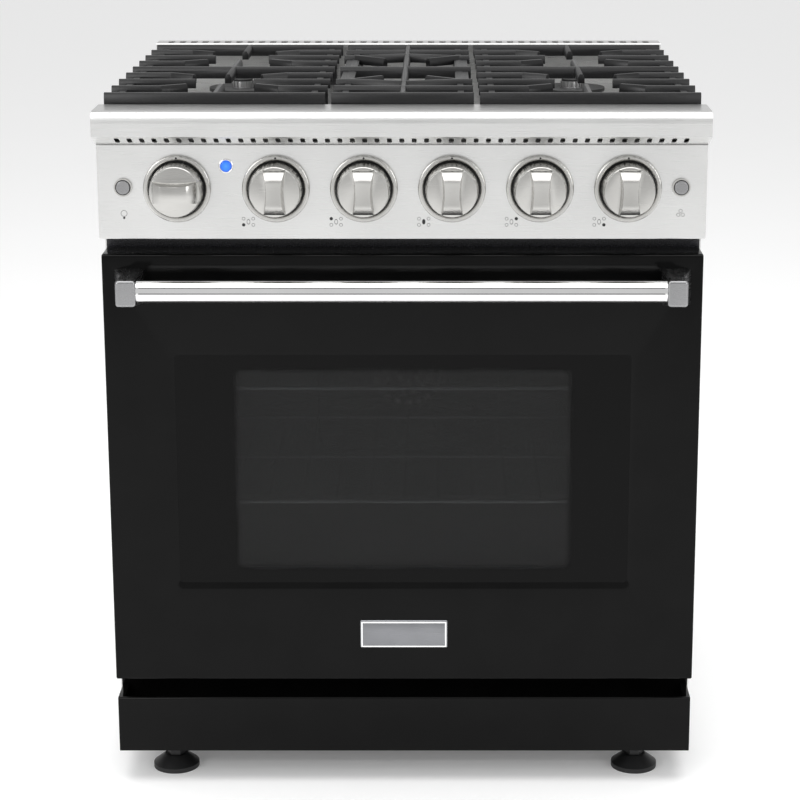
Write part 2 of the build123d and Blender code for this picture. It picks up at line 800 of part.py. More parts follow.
for number, name in enumerate(knob_names):
    upright = number > 0
    axis_plane = Plane(
        origin=(knob_x[number], face_y, knob_z),
        x_dir=(1, 0, 0) if upright else (0, 0, 1),
        z_dir=(0, -1, 0),
    )
    with BuildPart() as stem:
        with BuildSketch(axis_plane.offset(-stem_inner)):
            Circle(stem_radius)
        extrude(amount=stem_inner + stem_outer)
        with BuildSketch(axis_plane.offset(-4)):
            with Locations((stem_flat + 5, 0)):
                Rectangle(10, 20)
        extrude(amount=stem_outer + 5, mode=Mode.SUBTRACT)
    write(stem.part, f"valve_stem_{name}")

    side_plane = Plane(axis_plane.origin, x_dir=axis_plane.y_dir, z_dir=axis_plane.x_dir)
    crest_z = knob_rim + knob_grip
    root_z = knob_rim - grip_root
    with BuildPart() as knob:
        base = grip_outline(axis_plane.offset(root_z), *grip_base_half, grip_base_length)
        crest = grip_outline(axis_plane.offset(crest_z), *grip_top_half, grip_top_length)
        loft([base, crest])
        with BuildSketch(side_plane):
            with BuildLine():
                Line((-grip_flat, crest_z), (grip_flat, crest_z))
                RadiusArc((grip_flat, crest_z), (grip_end, knob_rim), grip_end_radius)
                Line((grip_end, knob_rim), (grip_end, root_z))
                Line((grip_end, root_z), (-grip_end, root_z))
                Line((-grip_end, root_z), (-grip_end, knob_rim))
                RadiusArc((-grip_end, knob_rim), (-grip_flat, crest_z), grip_end_radius)
            make_face()
        extrude(amount=knob_radius, both=True, mode=Mode.INTERSECT)
        with BuildSketch(side_plane):
            with BuildLine():
                Polyline(
                    (0, knob_back_gap),
                    (hub_radius, knob_back_gap),
                    (hub_radius, knob_pocket_end),
                    (knob_radius - knob_wall, knob_pocket_end),
                    (knob_radius - knob_wall, knob_back_gap),
                    (knob_back_radius, knob_back_gap),
                    (knob_radius, knob_rim - knob_rim_chamfer),
                    (knob_radius - knob_rim_chamfer, knob_rim),
                    (0, knob_rim),
                    close=True,
                )
            make_face()
        revolve(axis=Axis(axis_plane.origin, axis_plane.z_dir))
        with BuildSketch(axis_plane.offset(knob_back_gap - 1)):
            Circle(stem_radius + running_gap)
            with Locations((stem_flat + slack + 5, 0)):
                Rectangle(10, 20, mode=Mode.SUBTRACT)
        extrude(amount=knob_bore_end - knob_back_gap + 1, mode=Mode.SUBTRACT)
    write(knob.part, f"knob_{name}")

# ---------------------------------------------------------------- gas train
valve_front = 16.0
valve_back = valve_front + valve_size
nipple_radius = 5.0
nipple_end = manifold_setback - manifold_radius + 3
with BuildPart() as gas_valves:
    for x in knob_x:
        box_between(
            (x - valve_size / 2, face_y + valve_front, knob_z - valve_size / 2),
            (x + valve_size / 2, face_y + valve_back, knob_z + valve_size / 2),
        )
        tube_y(x, knob_z, face_y + valve_back, face_y + nipple_end, nipple_radius)
        tube_y(
            x,
            knob_z,
            face_y + valve_front - 1,
            face_y + stem_inner + 1,
            stem_radius + running_gap,
            Mode.SUBTRACT,
        )
write(gas_valves.part, "gas_valves")

manifold_y = face_y + manifold_setback
riser_x = (cavity_half + body_half) / 2 + 13.0
riser_y = cavity_back_y + 72.0
regulator_radius = 32.0
with BuildPart() as gas_manifold:
    with BuildLine() as route:
        FilletPolyline(
            (-manifold_half, manifold_y, knob_z),
            (riser_x, manifold_y, knob_z),
            (riser_x, riser_y, knob_z),
            (riser_x, riser_y, gas_inlet_z),
            (gas_inlet_x + regulator_radius, riser_y, gas_inlet_z),
            radius=24,
        )
    with BuildSketch(Plane(origin=route.line @ 0, z_dir=route.line % 0)):
        Circle(manifold_radius)
        Circle(manifold_radius - 2.5, mode=Mode.SUBTRACT)
    sweep(path=route.line)
    for x in knob_x:
        tube_y(
            x,
            knob_z,
            manifold_y - manifold_radius - 1,
            manifold_y,
            nipple_radius + running_gap,
            Mode.SUBTRACT,
        )
write(gas_manifold.part, "gas_manifold")

inlet_bore_radius = 9.5
inlet_bore_length = 18.0
inlet_end_y = back_y - 4.0
regulator_front_y = riser_y - 16.0
regulator_back_y = riser_y + 14.0
inlet_radius = 13.0
with BuildPart() as gas_regulator:
    tube_y(gas_inlet_x, gas_inlet_z, regulator_front_y, regulator_back_y, regulator_radius - fit_gap)
    tube_y(gas_inlet_x, gas_inlet_z, regulator_back_y, inlet_end_y, inlet_radius)
    tube_y(
        gas_inlet_x,
        gas_inlet_z,
        inlet_end_y - inlet_bore_length,
        inlet_end_y + 1,
        inlet_bore_radius,
        Mode.SUBTRACT,
    )
write(gas_regulator.part, "gas_regulator")

tube_radius = 5.0
tube_z = deck_base_z - 16.0
tube_routes = [
    (knob_x[1], burner_spots[0], -burner_throat_radius),
    (knob_x[2], burner_spots[1], -burner_throat_radius),
    (knob_x[3], (0, burner_y_centre), -centre_throat_radius),
    (knob_x[4], burner_spots[2], -burner_throat_radius),
    (knob_x[5], burner_spots[3], -burner_throat_radius),
]
with BuildPart() as burner_tubes:
    for valve_x, (burner_x, burner_y), throat in tube_routes:
        near = 1 if valve_x > burner_x else -1
        start_y = face_y + valve_front + valve_size / 2
        with BuildLine() as route:
            FilletPolyline(
                (valve_x, start_y, knob_z + valve_size / 2),
                (valve_x, start_y, tube_z),
                (valve_x, burner_y, tube_z),
                (burner_x - near * throat, burner_y, tube_z),
                radius=8,
            )
        with BuildSketch(Plane(origin=route.line @ 0, z_dir=route.line % 0)):
            Circle(tube_radius)
        sweep(path=route.line)
write(burner_tubes.part, "burner_tubes")

gland_inner = 8.0  # behind the rear panel's sheet
gland_collar = 4.0  # height of the collar, and how far it overhangs the hole
gland_cone = 14.0
gland_bore_radius = 4.0
gland_end_y = rear_panel_y + gland_collar + gland_cone
with BuildPart() as cord_gland:
    gland_start_y = rear_panel_y - sheet - gland_inner
    tube_y(cord_x, cord_z, gland_start_y, rear_panel_y, gland_radius - running_gap)
    tube_y(cord_x, cord_z, rear_panel_y, rear_panel_y + gland_collar, gland_radius + gland_collar)
    with Locations(Location((cord_x, gland_end_y - gland_cone / 2, cord_z), (90, 0, 0))):
        Cone(6, 8, gland_cone)
    tube_y(cord_x, cord_z, gland_start_y - 1, gland_end_y + 1, gland_bore_radius, Mode.SUBTRACT)
write(cord_gland.part, "cord_gland")

# ---------------------------------------------------------------- oven
liner_floor = cavity_floor - 32.0
plate = 2.0
ledge_reach = rack_side_gap + 10.0
rack_half = cavity_half - rack_side_gap
rack_z = [cavity_floor + level for level in rack_levels]
ledge_front_y = frame_y + 14.0
ledge_back_y = cavity_back_y - 30.0
oven_burner_radius = 12.0
bake_z = liner_floor + 16.0
broil_z = cavity_top - 18.0
fan_z = (cavity_floor + cavity_top) / 2
fan_radius = 75.0
lamp_spot = (-cavity_half + 70.0, cavity_top - 60.0)
lamp_neck = 15.0
back_wall = Plane(origin=(0, cavity_back_y, 0), x_dir=(1, 0, 0), z_dir=(0, -1, 0))
with BuildPart() as oven_liner:
    box_between(
        (-cavity_half - sheet, frame_y, liner_floor - sheet),
        (cavity_half + sheet, cavity_back_y + sheet, cavity_top + sheet),
    )
    box_between(
        (-inner_half, frame_y, flange_bottom),
        (inner_half, frame_y + sheet, panel_bottom - 1),
    )
    box_between(
        (-cavity_half, frame_y + sheet, liner_floor),
        (cavity_half, cavity_back_y, cavity_top),
        Mode.SUBTRACT,
    )
    box_between(
        (-cavity_half, frame_y - 1, cavity_floor - plate),
        (cavity_half, frame_y + sheet + 1, cavity_top),
        Mode.SUBTRACT,
    )
    for side in (-1, 1):
        wall = side * cavity_half
        edge = side * (cavity_half - ledge_reach)
        for level in [z - rack_wire - fit_gap for z in rack_z] + [cavity_floor - plate]:
            box_between(
                (min(wall, edge), ledge_front_y, level - 6),
                (max(wall, edge), ledge_back_y, level),
            )
    with BuildSketch(back_wall):
        with Locations((0, bake_z), (0, broil_z)):
            Circle(oven_burner_radius + fit_gap)
        with Locations((0, fan_z)):
            Circle(8)
        with Locations(lamp_spot):
            Circle(lamp_neck + fit_gap)
    extrude(amount=-3 * sheet, mode=Mode.SUBTRACT)
write(oven_liner.part, "oven_liner")

wrap = 25.0
wrap_gap = sheet + fit_gap
with BuildPart() as insulation_wrap:
    box_between(
        (-cavity_half - wrap_gap - wrap, frame_y + wrap_gap, liner_floor - wrap_gap - wrap),
        (cavity_half + wrap_gap + wrap, cavity_back_y + wrap_gap + wrap, cavity_top + wrap_gap + wrap),
    )
    box_between(
        (-cavity_half - wrap_gap, frame_y, liner_floor - wrap_gap),
        (cavity_half + wrap_gap, cavity_back_y + wrap_gap, cavity_top + wrap_gap),
        Mode.SUBTRACT,
    )
    with BuildSketch(back_wall):
        with Locations((0, bake_z), (0, broil_z)):
            Circle(oven_burner_radius + 4)
        with Locations((0, fan_z)):
            Circle(38)
        with Locations(lamp_spot):
            Circle(lamp_neck + 2)
    extrude(amount=-3 * wrap, mode=Mode.SUBTRACT)
write(insulation_wrap.part, "insulation_wrap")

gasket_width = 8.0
gasket_squeeze = 0.5
gasket_margin = 10.0
with BuildPart() as door_gasket:
    with BuildSketch(Plane(origin=(0, frame_y, 0), x_dir=(1, 0, 0), z_dir=(0, -1, 0))):
        with Locations((0, (cavity_floor + cavity_top) / 2)):
            opening_width = 2 * (cavity_half + gasket_margin)
            opening_height = cavity_top - cavity_floor + 2 * gasket_margin
            RectangleRounded(opening_width + 2 * gasket_width, opening_height + 2 * gasket_width, 20)
            RectangleRounded(opening_width, opening_height, 12, mode=Mode.SUBTRACT)
    extrude(amount=seal_gap - gasket_squeeze)
    fillet(door_gasket.edges().group_by(Axis.Y)[0], 1.2)
write(door_gasket.part, "door_gasket")

with BuildPart() as oven_floor_plate:
    box_between(
        (-cavity_half + 2, frame_y + sheet + 2, cavity_floor - plate),
        (cavity_half - 2, cavity_back_y - 2, cavity_floor),
    )
    with BuildSketch(Plane.XY.offset(cavity_floor + 1)):
        with Locations((0, (frame_y + cavity_back_y) / 2)):
            with GridLocations(2 * cavity_half - 80, 36, 2, 11):
                SlotOverall(24, 6, rotation=90)
    extrude(amount=-2 * plate, mode=Mode.SUBTRACT)
write(oven_floor_plate.part, "oven_floor_plate")

oven_burner_front_y = frame_y + 80.0
oven_burner_back_y = cavity_back_y - 100.0
oven_burner_half = 150.0
oven_burner_tube = 9.0
with BuildPart() as oven_burners:
    for level in (bake_z, broil_z):
        with BuildLine() as bend:
            FilletPolyline(
                (-oven_burner_half, oven_burner_back_y, level),
                (-oven_burner_half, oven_burner_front_y, level),
                (oven_burner_half, oven_burner_front_y, level),
                (oven_burner_half, oven_burner_back_y, level),
                radius=50,
            )
        with BuildSketch(Plane(origin=bend.line @ 0, z_dir=bend.line % 0)):
            Circle(oven_burner_tube)
        sweep(path=bend.line)
        tube_y(0, level, oven_burner_front_y - 12, cavity_back_y + 30, oven_burner_radius)
write(oven_burners.part, "oven_burners")

cover_width = 270.0
cover_height = 250.0
cover_depth = 27.0
with BuildPart() as fan_cover:
    with BuildSketch(back_wall):
        with Locations((0, fan_z)):
            RectangleRounded(cover_width, cover_height, 24)
    extrude(amount=cover_depth)
    fillet(fan_cover.edges().group_by(Axis.Y)[0], 4)
    with BuildSketch(back_wall):
        with Locations((0, fan_z)):
            RectangleRounded(cover_width - 2 * sheet, cover_height - 2 * sheet, 22)
    extrude(amount=cover_depth - sheet, mode=Mode.SUBTRACT)
    with BuildSketch(back_wall):
        with Locations((0, fan_z)):
            for ring, count in ((18, 8), (34, 14), (50, 20)):
                with PolarLocations(ring, count):
                    Circle(4.5)
    extrude(amount=cover_depth + 1, mode=Mode.SUBTRACT)
    for side in (-1, 1):
        with Locations((side * cover_width / 2, cavity_back_y - cover_depth / 2, fan_z)):
            Box(12, 9, cover_height - 90, mode=Mode.SUBTRACT)
write(fan_cover.part, "fan_cover")

motor_y = cavity_back_y + wrap_gap + 6.0
shaft_radius = 4.0
with BuildPart() as fan_blade:
    tube_y(0, fan_z, cavity_back_y - 21, cavity_back_y - 6, 12)
    tube_y(0, fan_z, cavity_back_y - 6, motor_y + 20, shaft_radius)
    with BuildSketch(back_wall.offset(8)):
        with Locations((0, fan_z)):
            Circle(fan_radius)
    extrude(amount=1.5)
    with BuildSketch(back_wall.offset(9)):
        with Locations((0, fan_z)):
            with PolarLocations(fan_radius * 0.62, 8):
                Rectangle(fan_radius * 0.7, 2, rotation=18)
    extrude(amount=11)
write(fan_blade.part, "fan_blade")

motor_length = 46.0
motor_radius = 34.0
shaft_length = 20.0  # into the motor
with BuildPart() as fan_motor:
    tube_y(0, fan_z, motor_y, motor_y + motor_length, motor_radius)
    bore_end_y = motor_y + shaft_length + 4
    tube_y(0, fan_z, motor_y - 1, bore_end_y, shaft_radius + running_gap, Mode.SUBTRACT)
    box_between(
        (-60, motor_y + 40, fan_z - 10),
        (60, motor_y + 43, fan_z + 10),
    )
write(fan_motor.part, "fan_motor")

with BuildPart() as oven_lamp:
    with BuildSketch(back_wall):
        with Locations(lamp_spot):
            Circle(22)
    extrude(amount=12)
    fillet(oven_lamp.edges().group_by(Axis.Y)[0], 8)
    with BuildSketch(back_wall):
        with Locations(lamp_spot):
            Circle(lamp_neck)
    extrude(amount=-26)
write(oven_lamp.part, "oven_lamp")

rack_front_y = frame_y + rack_front_gap
rack_back_y = cavity_back_y - rack_back_gap
rack_bars = int((rack_half - rack_wire - rack_corner) / rack_bar_pitch)
for z, name in zip(rack_z, ("rack_lower", "rack_upper")):
    side_x = rack_half - rack_wire
    middle_y = (rack_front_y + rack_back_y) / 2
    with BuildPart() as rack:
        for hand in (-1, 1):
            with BuildLine() as bend:
                FilletPolyline(
                    (0, rack_front_y, z),
                    (hand * side_x, rack_front_y, z),
                    (hand * side_x, rack_back_y, z),
                    (0, rack_back_y, z),
                    radius=rack_corner,
                )
            with BuildSketch(Plane(origin=bend.line @ 0, z_dir=bend.line % 0)):
                Circle(rack_wire)
            sweep(path=bend.line)
        tube_x(middle_y, z, -side_x, side_x, rack_rod)
        for bar in range(-rack_bars, rack_bars + 1):
            bar_x = bar * rack_bar_pitch
            tube_y(bar_x, z + rack_wire, rack_front_y, rack_back_y, rack_rod)
    write(rack.part, name)

# ---------------------------------------------------------------- door
strap_y = face_y + skin + fit_gap
strap = 4.0
ear_gap = 0.6
ear_width = 6.0
tongue_half = 3.0
pin_half = tongue_half + ear_gap + ear_width + 1.5
with BuildPart() as hinge_receivers:
    for side in (-1, 1):
        x = side * hinge_x
        box_between(
            (x - 7, frame_y + sheet + fit_gap, hinge_z - 40),
            (x + 7, frame_y + 60, hinge_z + 9),
        )
        box_between(
            (x - tongue_half, hinge_y, hinge_z - 6),
            (x + tongue_half, frame_y + 20, hinge_z + 6),
        )
        tube_x(hinge_y, hinge_z, x - tongue_half, x + tongue_half, knuckle_radius - 1)
        tube_x(hinge_y, hinge_z, x - pin_half, x + pin_half, pin_radius)
write(hinge_receivers.part, "hinge_receivers")

strap_top = hinge_z + 150.0
with BuildPart() as hinge_arms:
    for side in (-1, 1):
        x = side * hinge_x
        ear_inner = tongue_half + ear_gap
        ear_outer = ear_inner + ear_width
        box_between((x - ear_outer, strap_y, hinge_z - 6), (x + ear_outer, strap_y + strap, strap_top))
        for hand in (-1, 1):
            low = min(hand * ear_inner, hand * ear_outer)
            tube_x(hinge_y, hinge_z, x + low, x + low + ear_width, knuckle_radius)
            box_between(
                (x + low, strap_y, hinge_z - 6),
                (x + low + ear_width, hinge_y, hinge_z + knuckle_radius),
            )
            tube_x(
                hinge_y,
                hinge_z,
                x + low - 1,
                x + low + ear_width + 1,
                pin_radius + running_gap,
                Mode.SUBTRACT,
            )
write(hinge_arms.part, "hinge_arms")

door_face = Plane(origin=(0, face_y, 0), x_dir=(1, 0, 0), z_dir=(0, -1, 0))
bottom_return = 25.0
return_depth = door_thickness - fit_gap
bevel_depth = 2.0
corner_radius = 5.0
with BuildPart() as door_skin:
    box_between(
        (-door_half, face_y, door_bottom),
        (door_half, face_y + return_depth, door_top),
    )
    fillet(door_skin.edges().filter_by(Axis.X).group_by(Axis.Y)[0], 4)
    fillet(door_skin.edges().filter_by(Axis.Z).group_by(Axis.Y)[0], 2)
    box_between(
        (-door_half + sheet, face_y + skin, door_bottom + sheet),
        (door_half - sheet, face_y + return_depth + 1, door_top - sheet),
        Mode.SUBTRACT,
    )
    box_between(
        (-door_half - 1, face_y + bottom_return, door_bottom - 1),
        (door_half + 1, face_y + return_depth + 1, hinge_z + 12),
        Mode.SUBTRACT,
    )
    for side in (-1, 1):
        box_between(
            (side * hinge_x - 12, face_y + skin + 1, door_bottom - 1),
            (side * hinge_x + 12, face_y + bottom_return + 1, door_bottom + sheet + 1),
            Mode.SUBTRACT,
        )
    with BuildSketch(door_face):
        with Locations((0, window_z)):
            RectangleRounded(
                2 * (window_half + window_bevel),
                window_height + 2 * window_bevel,
                corner_radius + window_bevel,
            )
    with BuildSketch(door_face.offset(-bevel_depth)):
        with Locations((0, window_z)):
            RectangleRounded(2 * window_half, window_height, corner_radius)
    loft(mode=Mode.SUBTRACT)
    with BuildSketch(door_face.offset(-bevel_depth / 2)):
        with Locations((0, window_z)):
            RectangleRounded(2 * window_half, window_height, corner_radius)
    extrude(amount=-2 * skin, mode=Mode.SUBTRACT)
write(door_skin.part, "door_skin")

glass_margin = 12.0
with BuildPart() as door_glass_outer:
    with BuildSketch(door_face.offset(-skin)):
        with Locations((0, window_z)):
            RectangleRounded(
                2 * (window_half + glass_margin), window_height + 2 * glass_margin, 6
            )
    extrude(amount=-glass)
write(door_glass_outer.part, "door_glass_outer")

liner_half = door_half - sheet - 1.0
liner_low = hinge_z + 16.0
liner_high = door_top - sheet - 1.0
liner_return = 18.0
inner_window_half = window_half - 60.0
inner_window_height = window_height - 30.0
with BuildPart() as door_liner:
    box_between(
        (-liner_half, door_back_y - liner_return, liner_low),
        (liner_half, door_back_y, liner_high),
    )
    fillet(door_liner.edges().filter_by(Axis.Y), 6)
    box_between(
        (-liner_half + sheet, door_back_y - liner_return - 1, liner_low + sheet),
        (liner_half - sheet, door_back_y - sheet, liner_high - sheet),
        Mode.SUBTRACT,
    )
    with BuildSketch(door_face.offset(-door_thickness - 1)):
        with Locations((0, window_z)):
            RectangleRounded(2 * inner_window_half, inner_window_height, 14)
    extrude(amount=3 * sheet, mode=Mode.SUBTRACT)
write(door_liner.part, "door_liner")

with BuildPart() as door_glass_inner:
    with BuildSketch(door_face.offset(sheet - door_thickness)):
        with Locations((0, window_z)):
            RectangleRounded(
                2 * (inner_window_half + glass_margin), inner_window_height + 2 * glass_margin, 6
            )
    extrude(amount=glass)
write(door_glass_inner.part, "door_glass_inner")

badge_z = door_bottom + badge_lift
with BuildPart() as badge_plate:
    with BuildSketch(door_face):
        with Locations((0, badge_z)):
            RectangleRounded(badge_width, badge_height, 2)
    extrude(amount=3)
    chamfer(badge_plate.edges().group_by(Axis.Y)[0], 1.5)
write(badge_plate.part, "badge_plate")

bar_half = bracket_x - bracket_width / 2 + socket_depth
with BuildPart() as handle_bar:
    tube_x(handle_y, handle_z, -bar_half, bar_half, handle_radius)
    for angle in (0, 30, 60):
        with Locations(Location((0, handle_y, handle_z), (-angle, 0, 0))):
            with Locations((0, -handle_radius, 0)):
                Box(2 * bar_half + 2, 2, 1.2, mode=Mode.SUBTRACT)
write(handle_bar.part, "handle_bar")

with BuildPart() as handle_brackets:
    for side in (-1, 1):
        with BuildSketch(door_face):
            with Locations((side * (bracket_x + 5), handle_z - 6)):
                RectangleRounded(bracket_width + 12, bracket_height + 14, 4)
        with BuildSketch(door_face.offset(handle_standoff - handle_radius - 4)):
            with Locations((side * bracket_x, handle_z)):
                RectangleRounded(bracket_width, bracket_height, 4)
        loft()
        with BuildSketch(door_face.offset(handle_standoff - handle_radius - 4)):
            with Locations((side * bracket_x, handle_z)):
                RectangleRounded(bracket_width, bracket_height, 4)
        extrude(amount=face_y - bracket_y - handle_standoff + handle_radius + 4)
    fillet(handle_brackets.edges().group_by(Axis.Y)[0], 3)
    socket_half = bar_half + fit_gap
    socket_radius = handle_radius + running_gap
    tube_x(handle_y, handle_z, -socket_half, socket_half, socket_radius, Mode.SUBTRACT)
write(handle_brackets.part, "handle_brackets")
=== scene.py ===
"""Finishes, softened edges, fine pieces and the studio for a freestanding gas range."""

import json
import math

import bpy
from mathutils import Matrix, Vector


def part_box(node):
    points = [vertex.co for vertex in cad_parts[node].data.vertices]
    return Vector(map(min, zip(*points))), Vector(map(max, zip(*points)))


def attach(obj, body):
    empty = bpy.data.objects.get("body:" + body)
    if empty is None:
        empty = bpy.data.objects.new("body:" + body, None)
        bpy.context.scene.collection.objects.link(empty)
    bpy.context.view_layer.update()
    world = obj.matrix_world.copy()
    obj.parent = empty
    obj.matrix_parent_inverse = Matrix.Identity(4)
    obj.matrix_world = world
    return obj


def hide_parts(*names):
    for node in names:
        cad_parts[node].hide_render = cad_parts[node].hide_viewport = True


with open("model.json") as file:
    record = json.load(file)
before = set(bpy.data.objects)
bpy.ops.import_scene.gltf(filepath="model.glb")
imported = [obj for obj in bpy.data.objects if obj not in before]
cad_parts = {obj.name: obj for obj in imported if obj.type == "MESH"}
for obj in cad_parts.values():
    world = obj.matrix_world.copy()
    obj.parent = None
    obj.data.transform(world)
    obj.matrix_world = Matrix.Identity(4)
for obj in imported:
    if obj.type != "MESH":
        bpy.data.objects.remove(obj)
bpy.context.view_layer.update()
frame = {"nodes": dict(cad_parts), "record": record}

bl_info = {
    "name": "Gas range finishes",
    "version": (1, 0, 0),
    "blender": (4, 5, 0),
    "location": "3D View > Sidebar > Range",
    "description": "Builds the finishes and fine pieces of a freestanding gas range",
    "category": "Object",
}

MM = 0.001
NODE_SLOT = {part["node"]: part["material_slot"] for part in frame["record"]["subparts"]}
BODY_NODES = frame["record"]["behaviour"]["bodies"]
NODE_BODY = {node: body for body, nodes in BODY_NODES.items() for node in nodes}
KNOBS = sorted(node for node in NODE_SLOT if node.startswith("knob_"))
BURNER_ORDER = ["front_left", "rear_left", "center", "rear_right", "front_right"]
# the corner of a burner's sign where its circle stands, across and up
CORNERS = {
    "front_left": (-1, -1),
    "rear_left": (-1, 1),
    "rear_right": (1, 1),
    "front_right": (1, -1),
}
# the handle's grooves, in degrees above its foremost line
STRIP_ANGLES = (0, 30, 60)
# where the studio lights point: the middle of the range
LIGHT_TARGET = Vector((0.0, 0.0, 0.6))

panel_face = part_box("control_panel")[0].y
rings_low, rings_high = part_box("trim_rings")
ring_reach = (rings_high.z - rings_low.z) / 2
window_low, window_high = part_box("door_glass_inner")


# ---------------------------------------------------------------- settings
def length(name, description, default):
    """A size setting in metres."""
    return bpy.props.FloatProperty(
        name=name,
        description=description,
        default=default,
        precision=4,
        subtype="DISTANCE",
        unit="LENGTH",
    )


def number(name, description, default):
    """A plain number setting."""
    return bpy.props.FloatProperty(name=name, description=description, default=default)


def hex_colour(name, description, default):
    """A colour setting as an sRGB hex text."""
    return bpy.props.StringProperty(name=name, description=description, default=default)


class RangeEdgeSettings(bpy.types.PropertyGroup):
    """How far the edges of the pieces are rounded."""

    casting: length("Casting edge", "Rounding of the cast grates", 1.1 * MM)
    sheet: length("Sheet edge", "Rounding of folded and enamelled sheet", 0.5 * MM)
    door: length("Door edge", "Rounding of the door skin and kick panel", 1.4 * MM)
    knob: length("Knob edge", "Rounding of the turned knobs", 0.7 * MM)


class RangeMarkSettings(bpy.types.PropertyGroup):
    """Printed marks and small rings of the control panel."""

    dot_radius: length("Index dot", "Radius of the dot on each bezel", 1.3 * MM)
    icon_circle: length("Icon circle", "Radius of a small burner circle", 2.1 * MM)
    icon_line: length("Icon line", "Width of the printed line", 0.45 * MM)
    icon_across: length("Icon width", "Half distance between the circles across", 6.0 * MM)
    icon_down: length("Icon height", "Half distance between the circles down", 3.9 * MM)
    ink: length("Ink height", "How far the printed marks stand out", 0.12 * MM)
    icon_left: length("Burner sign side", "From the knob's middle to its burner sign", 35.0 * MM)
    icon_below: length("Burner sign drop", "From the knob's middle to its sign below", 42.0 * MM)
    button_sign_drop: length("Button sign drop", "From the button down to its sign", 33.0 * MM)
    bulb: length("Bulb", "Radius of the bulb sign", 4.0 * MM)
    bulb_cap: length("Bulb cap", "Radius of the bulb sign's cap", 1.8 * MM)
    bulb_cap_drop: length("Bulb cap drop", "From the bulb's middle to its cap", 5.6 * MM)
    blade: length("Fan sign blade", "Radius of a blade of the fan sign", 2.3 * MM)
    blade_reach: length("Fan sign reach", "From the fan's middle to a blade's", 3.2 * MM)


class RangeTrimSettings(bpy.types.PropertyGroup):
    """Small pieces laid on the panel, the handle and the badge."""

    # painted shade: the next three settings size a black disc behind each knob that stands in for
    # the shade in the gap between the bezel and the knob
    gap_shade_inset: length("Gap_shade inset", "Black well inside the edge of the bezel", 6.6 * MM)
    gap_shade_height: length("Gap_shade height", "How far the well stands out of the panel", 0.6 * MM)
    gap_shade_bore: length("Gap_shade bore", "Radius of the hole for the valve stem", 9.0 * MM)
    dot_inset: length("Dot inset", "Index dot inside the edge of the bezel", 3.6 * MM)
    seal_width: length("Seal width", "Black ring around a button", 1.0 * MM)
    seal_gap: length("Seal gap", "Between a button and its black ring", 0.1 * MM)
    seal_rise: length("Seal rise", "From the panel to the back of the ring", 3.5 * MM)
    seal_height: length("Seal height", "Thickness of the black ring", 0.3 * MM)
    lamp_gap: length("Lamp ring gap", "From the lens to the middle of its ring's wire", 0.9 * MM)
    lamp_wire: length("Lamp ring wire", "Radius of the lamp ring's wire", 1.3 * MM)
    strip_width: length("Strip width", "Width of a black strip in the handle", 1.1 * MM)
    strip_depth: length("Strip depth", "Thickness of a black strip", 0.5 * MM)
    strip_sink: length("Strip sink", "Middle of a strip below the handle's skin", 0.75 * MM)
    strip_inset: length("Strip inset", "From the handle's end to the strip's end", 9.0 * MM)
    badge_border: length("Badge border", "Width of the badge's border", 2.0 * MM)
    badge_margin: length("Badge margin", "From the badge's edge to its border", 1.6 * MM)
    badge_rise: length("Badge border height", "How far the border stands out", 0.5 * MM)
    badge_edge: length("Badge border edge", "Rounding of the border", 0.2 * MM)


class RangeStudioSettings(bpy.types.PropertyGroup):
    """Camera and light."""

    camera_x: length("Camera side", "Camera to the right of the middle", 0.0448)
    camera_y: length("Camera depth", "Camera along the depth", -3.1114)
    camera_z: length("Camera height", "Camera above the floor", 1.2718)
    pitch: bpy.props.FloatProperty(
        name="Camera pitch",
        description="How far the camera looks down",
        default=0.2424,
        subtype="ANGLE",
    )
    lens: number("Lens", "Focal length in mm", 103.0)
    shift_x: number("Shift across", "Sensor shift across as a share of its width", -0.0479)
    shift_y: number("Shift up", "Sensor shift upwards as a share of its width", -0.05)
    floor_colour: hex_colour("Floor", "Floor colour as hex", "FAFAFA")
    floor_glow: number("Floor glow", "Strength of the floor's own light", 0.12)
    air_glow: number("Air glow", "Strength of the light from all around", 0.7)


# ---------------------------------------------------------------- material tools
# places of the colour sockets on the node that mixes two colours
MIX_FACTOR, MIX_A, MIX_B, MIX_RESULT = 0, 6, 7, 2


def srgb(text):
    """An sRGB hex colour as a linear colour."""
    parts = [int(text[n : n + 2], 16) / 255 for n in (0, 2, 4)]
    linear = [p / 12.92 if p <= 0.04045 else ((p + 0.055) / 1.055) ** 2.4 for p in parts]
    return (*linear, 1.0)


def add(material, kind, inputs=None, **settings):
    """Adds a shader node with its settings; each input is a value or a socket to link from."""
    made = material.node_tree.nodes.new("ShaderNode" + kind)
    for name, value in settings.items():
        setattr(made, name, value)
    for key, value in (inputs or {}).items():
        if isinstance(value, bpy.types.NodeSocket):
            material.node_tree.links.new(value, made.inputs[key])
        else:
            made.inputs[key].default_value = value
    return made


def begin(name, **fixed):
    """A new material, its shader with fixed settings, and the place on the piece."""
    material = bpy.data.materials.new(name)
    material.use_nodes = True
    shader = material.node_tree.nodes["Principled BSDF"]
    for key, value in fixed.items():
        shader.inputs[key.replace("_", " ")].default_value = value
    place = add(material, "TexCoord").outputs["Object"]
    return material, shader, place


def stretched_noise(material, place, size_mm, detail=3.0):
    """Noise whose cells measure size_mm along X, Y and Z."""
    scale = Vector([1 / (s * MM) for s in size_mm])
    fitted = add(material, "Mapping", {"Vector": place, "Scale": scale})
    noise = add(material, "TexNoise", {"Vector": fitted.outputs[0], "Scale": 1.0, "Detail": detail})
    return noise.outputs["Fac"]


def swayed(material, pattern, low, high):
    """A pattern spread between two numbers; its own values mostly lie from 0.3 to 0.7."""
    inputs = {"Value": pattern, "From Min": 0.3, "From Max": 0.7, "To Min": low, "To Max": high}
    return add(material, "MapRange", inputs).outputs[0]


def tinted(material, value, dark, light):
    """A colour between two hex colours."""
    inputs = {MIX_FACTOR: value, MIX_A: srgb(dark), MIX_B: srgb(light)}
    return add(material, "Mix", inputs, data_type="RGBA").outputs[MIX_RESULT]


def plug(material, value, shader, socket):
    """Links a value to a shader's input."""
    material.node_tree.links.new(value, shader.inputs[socket])


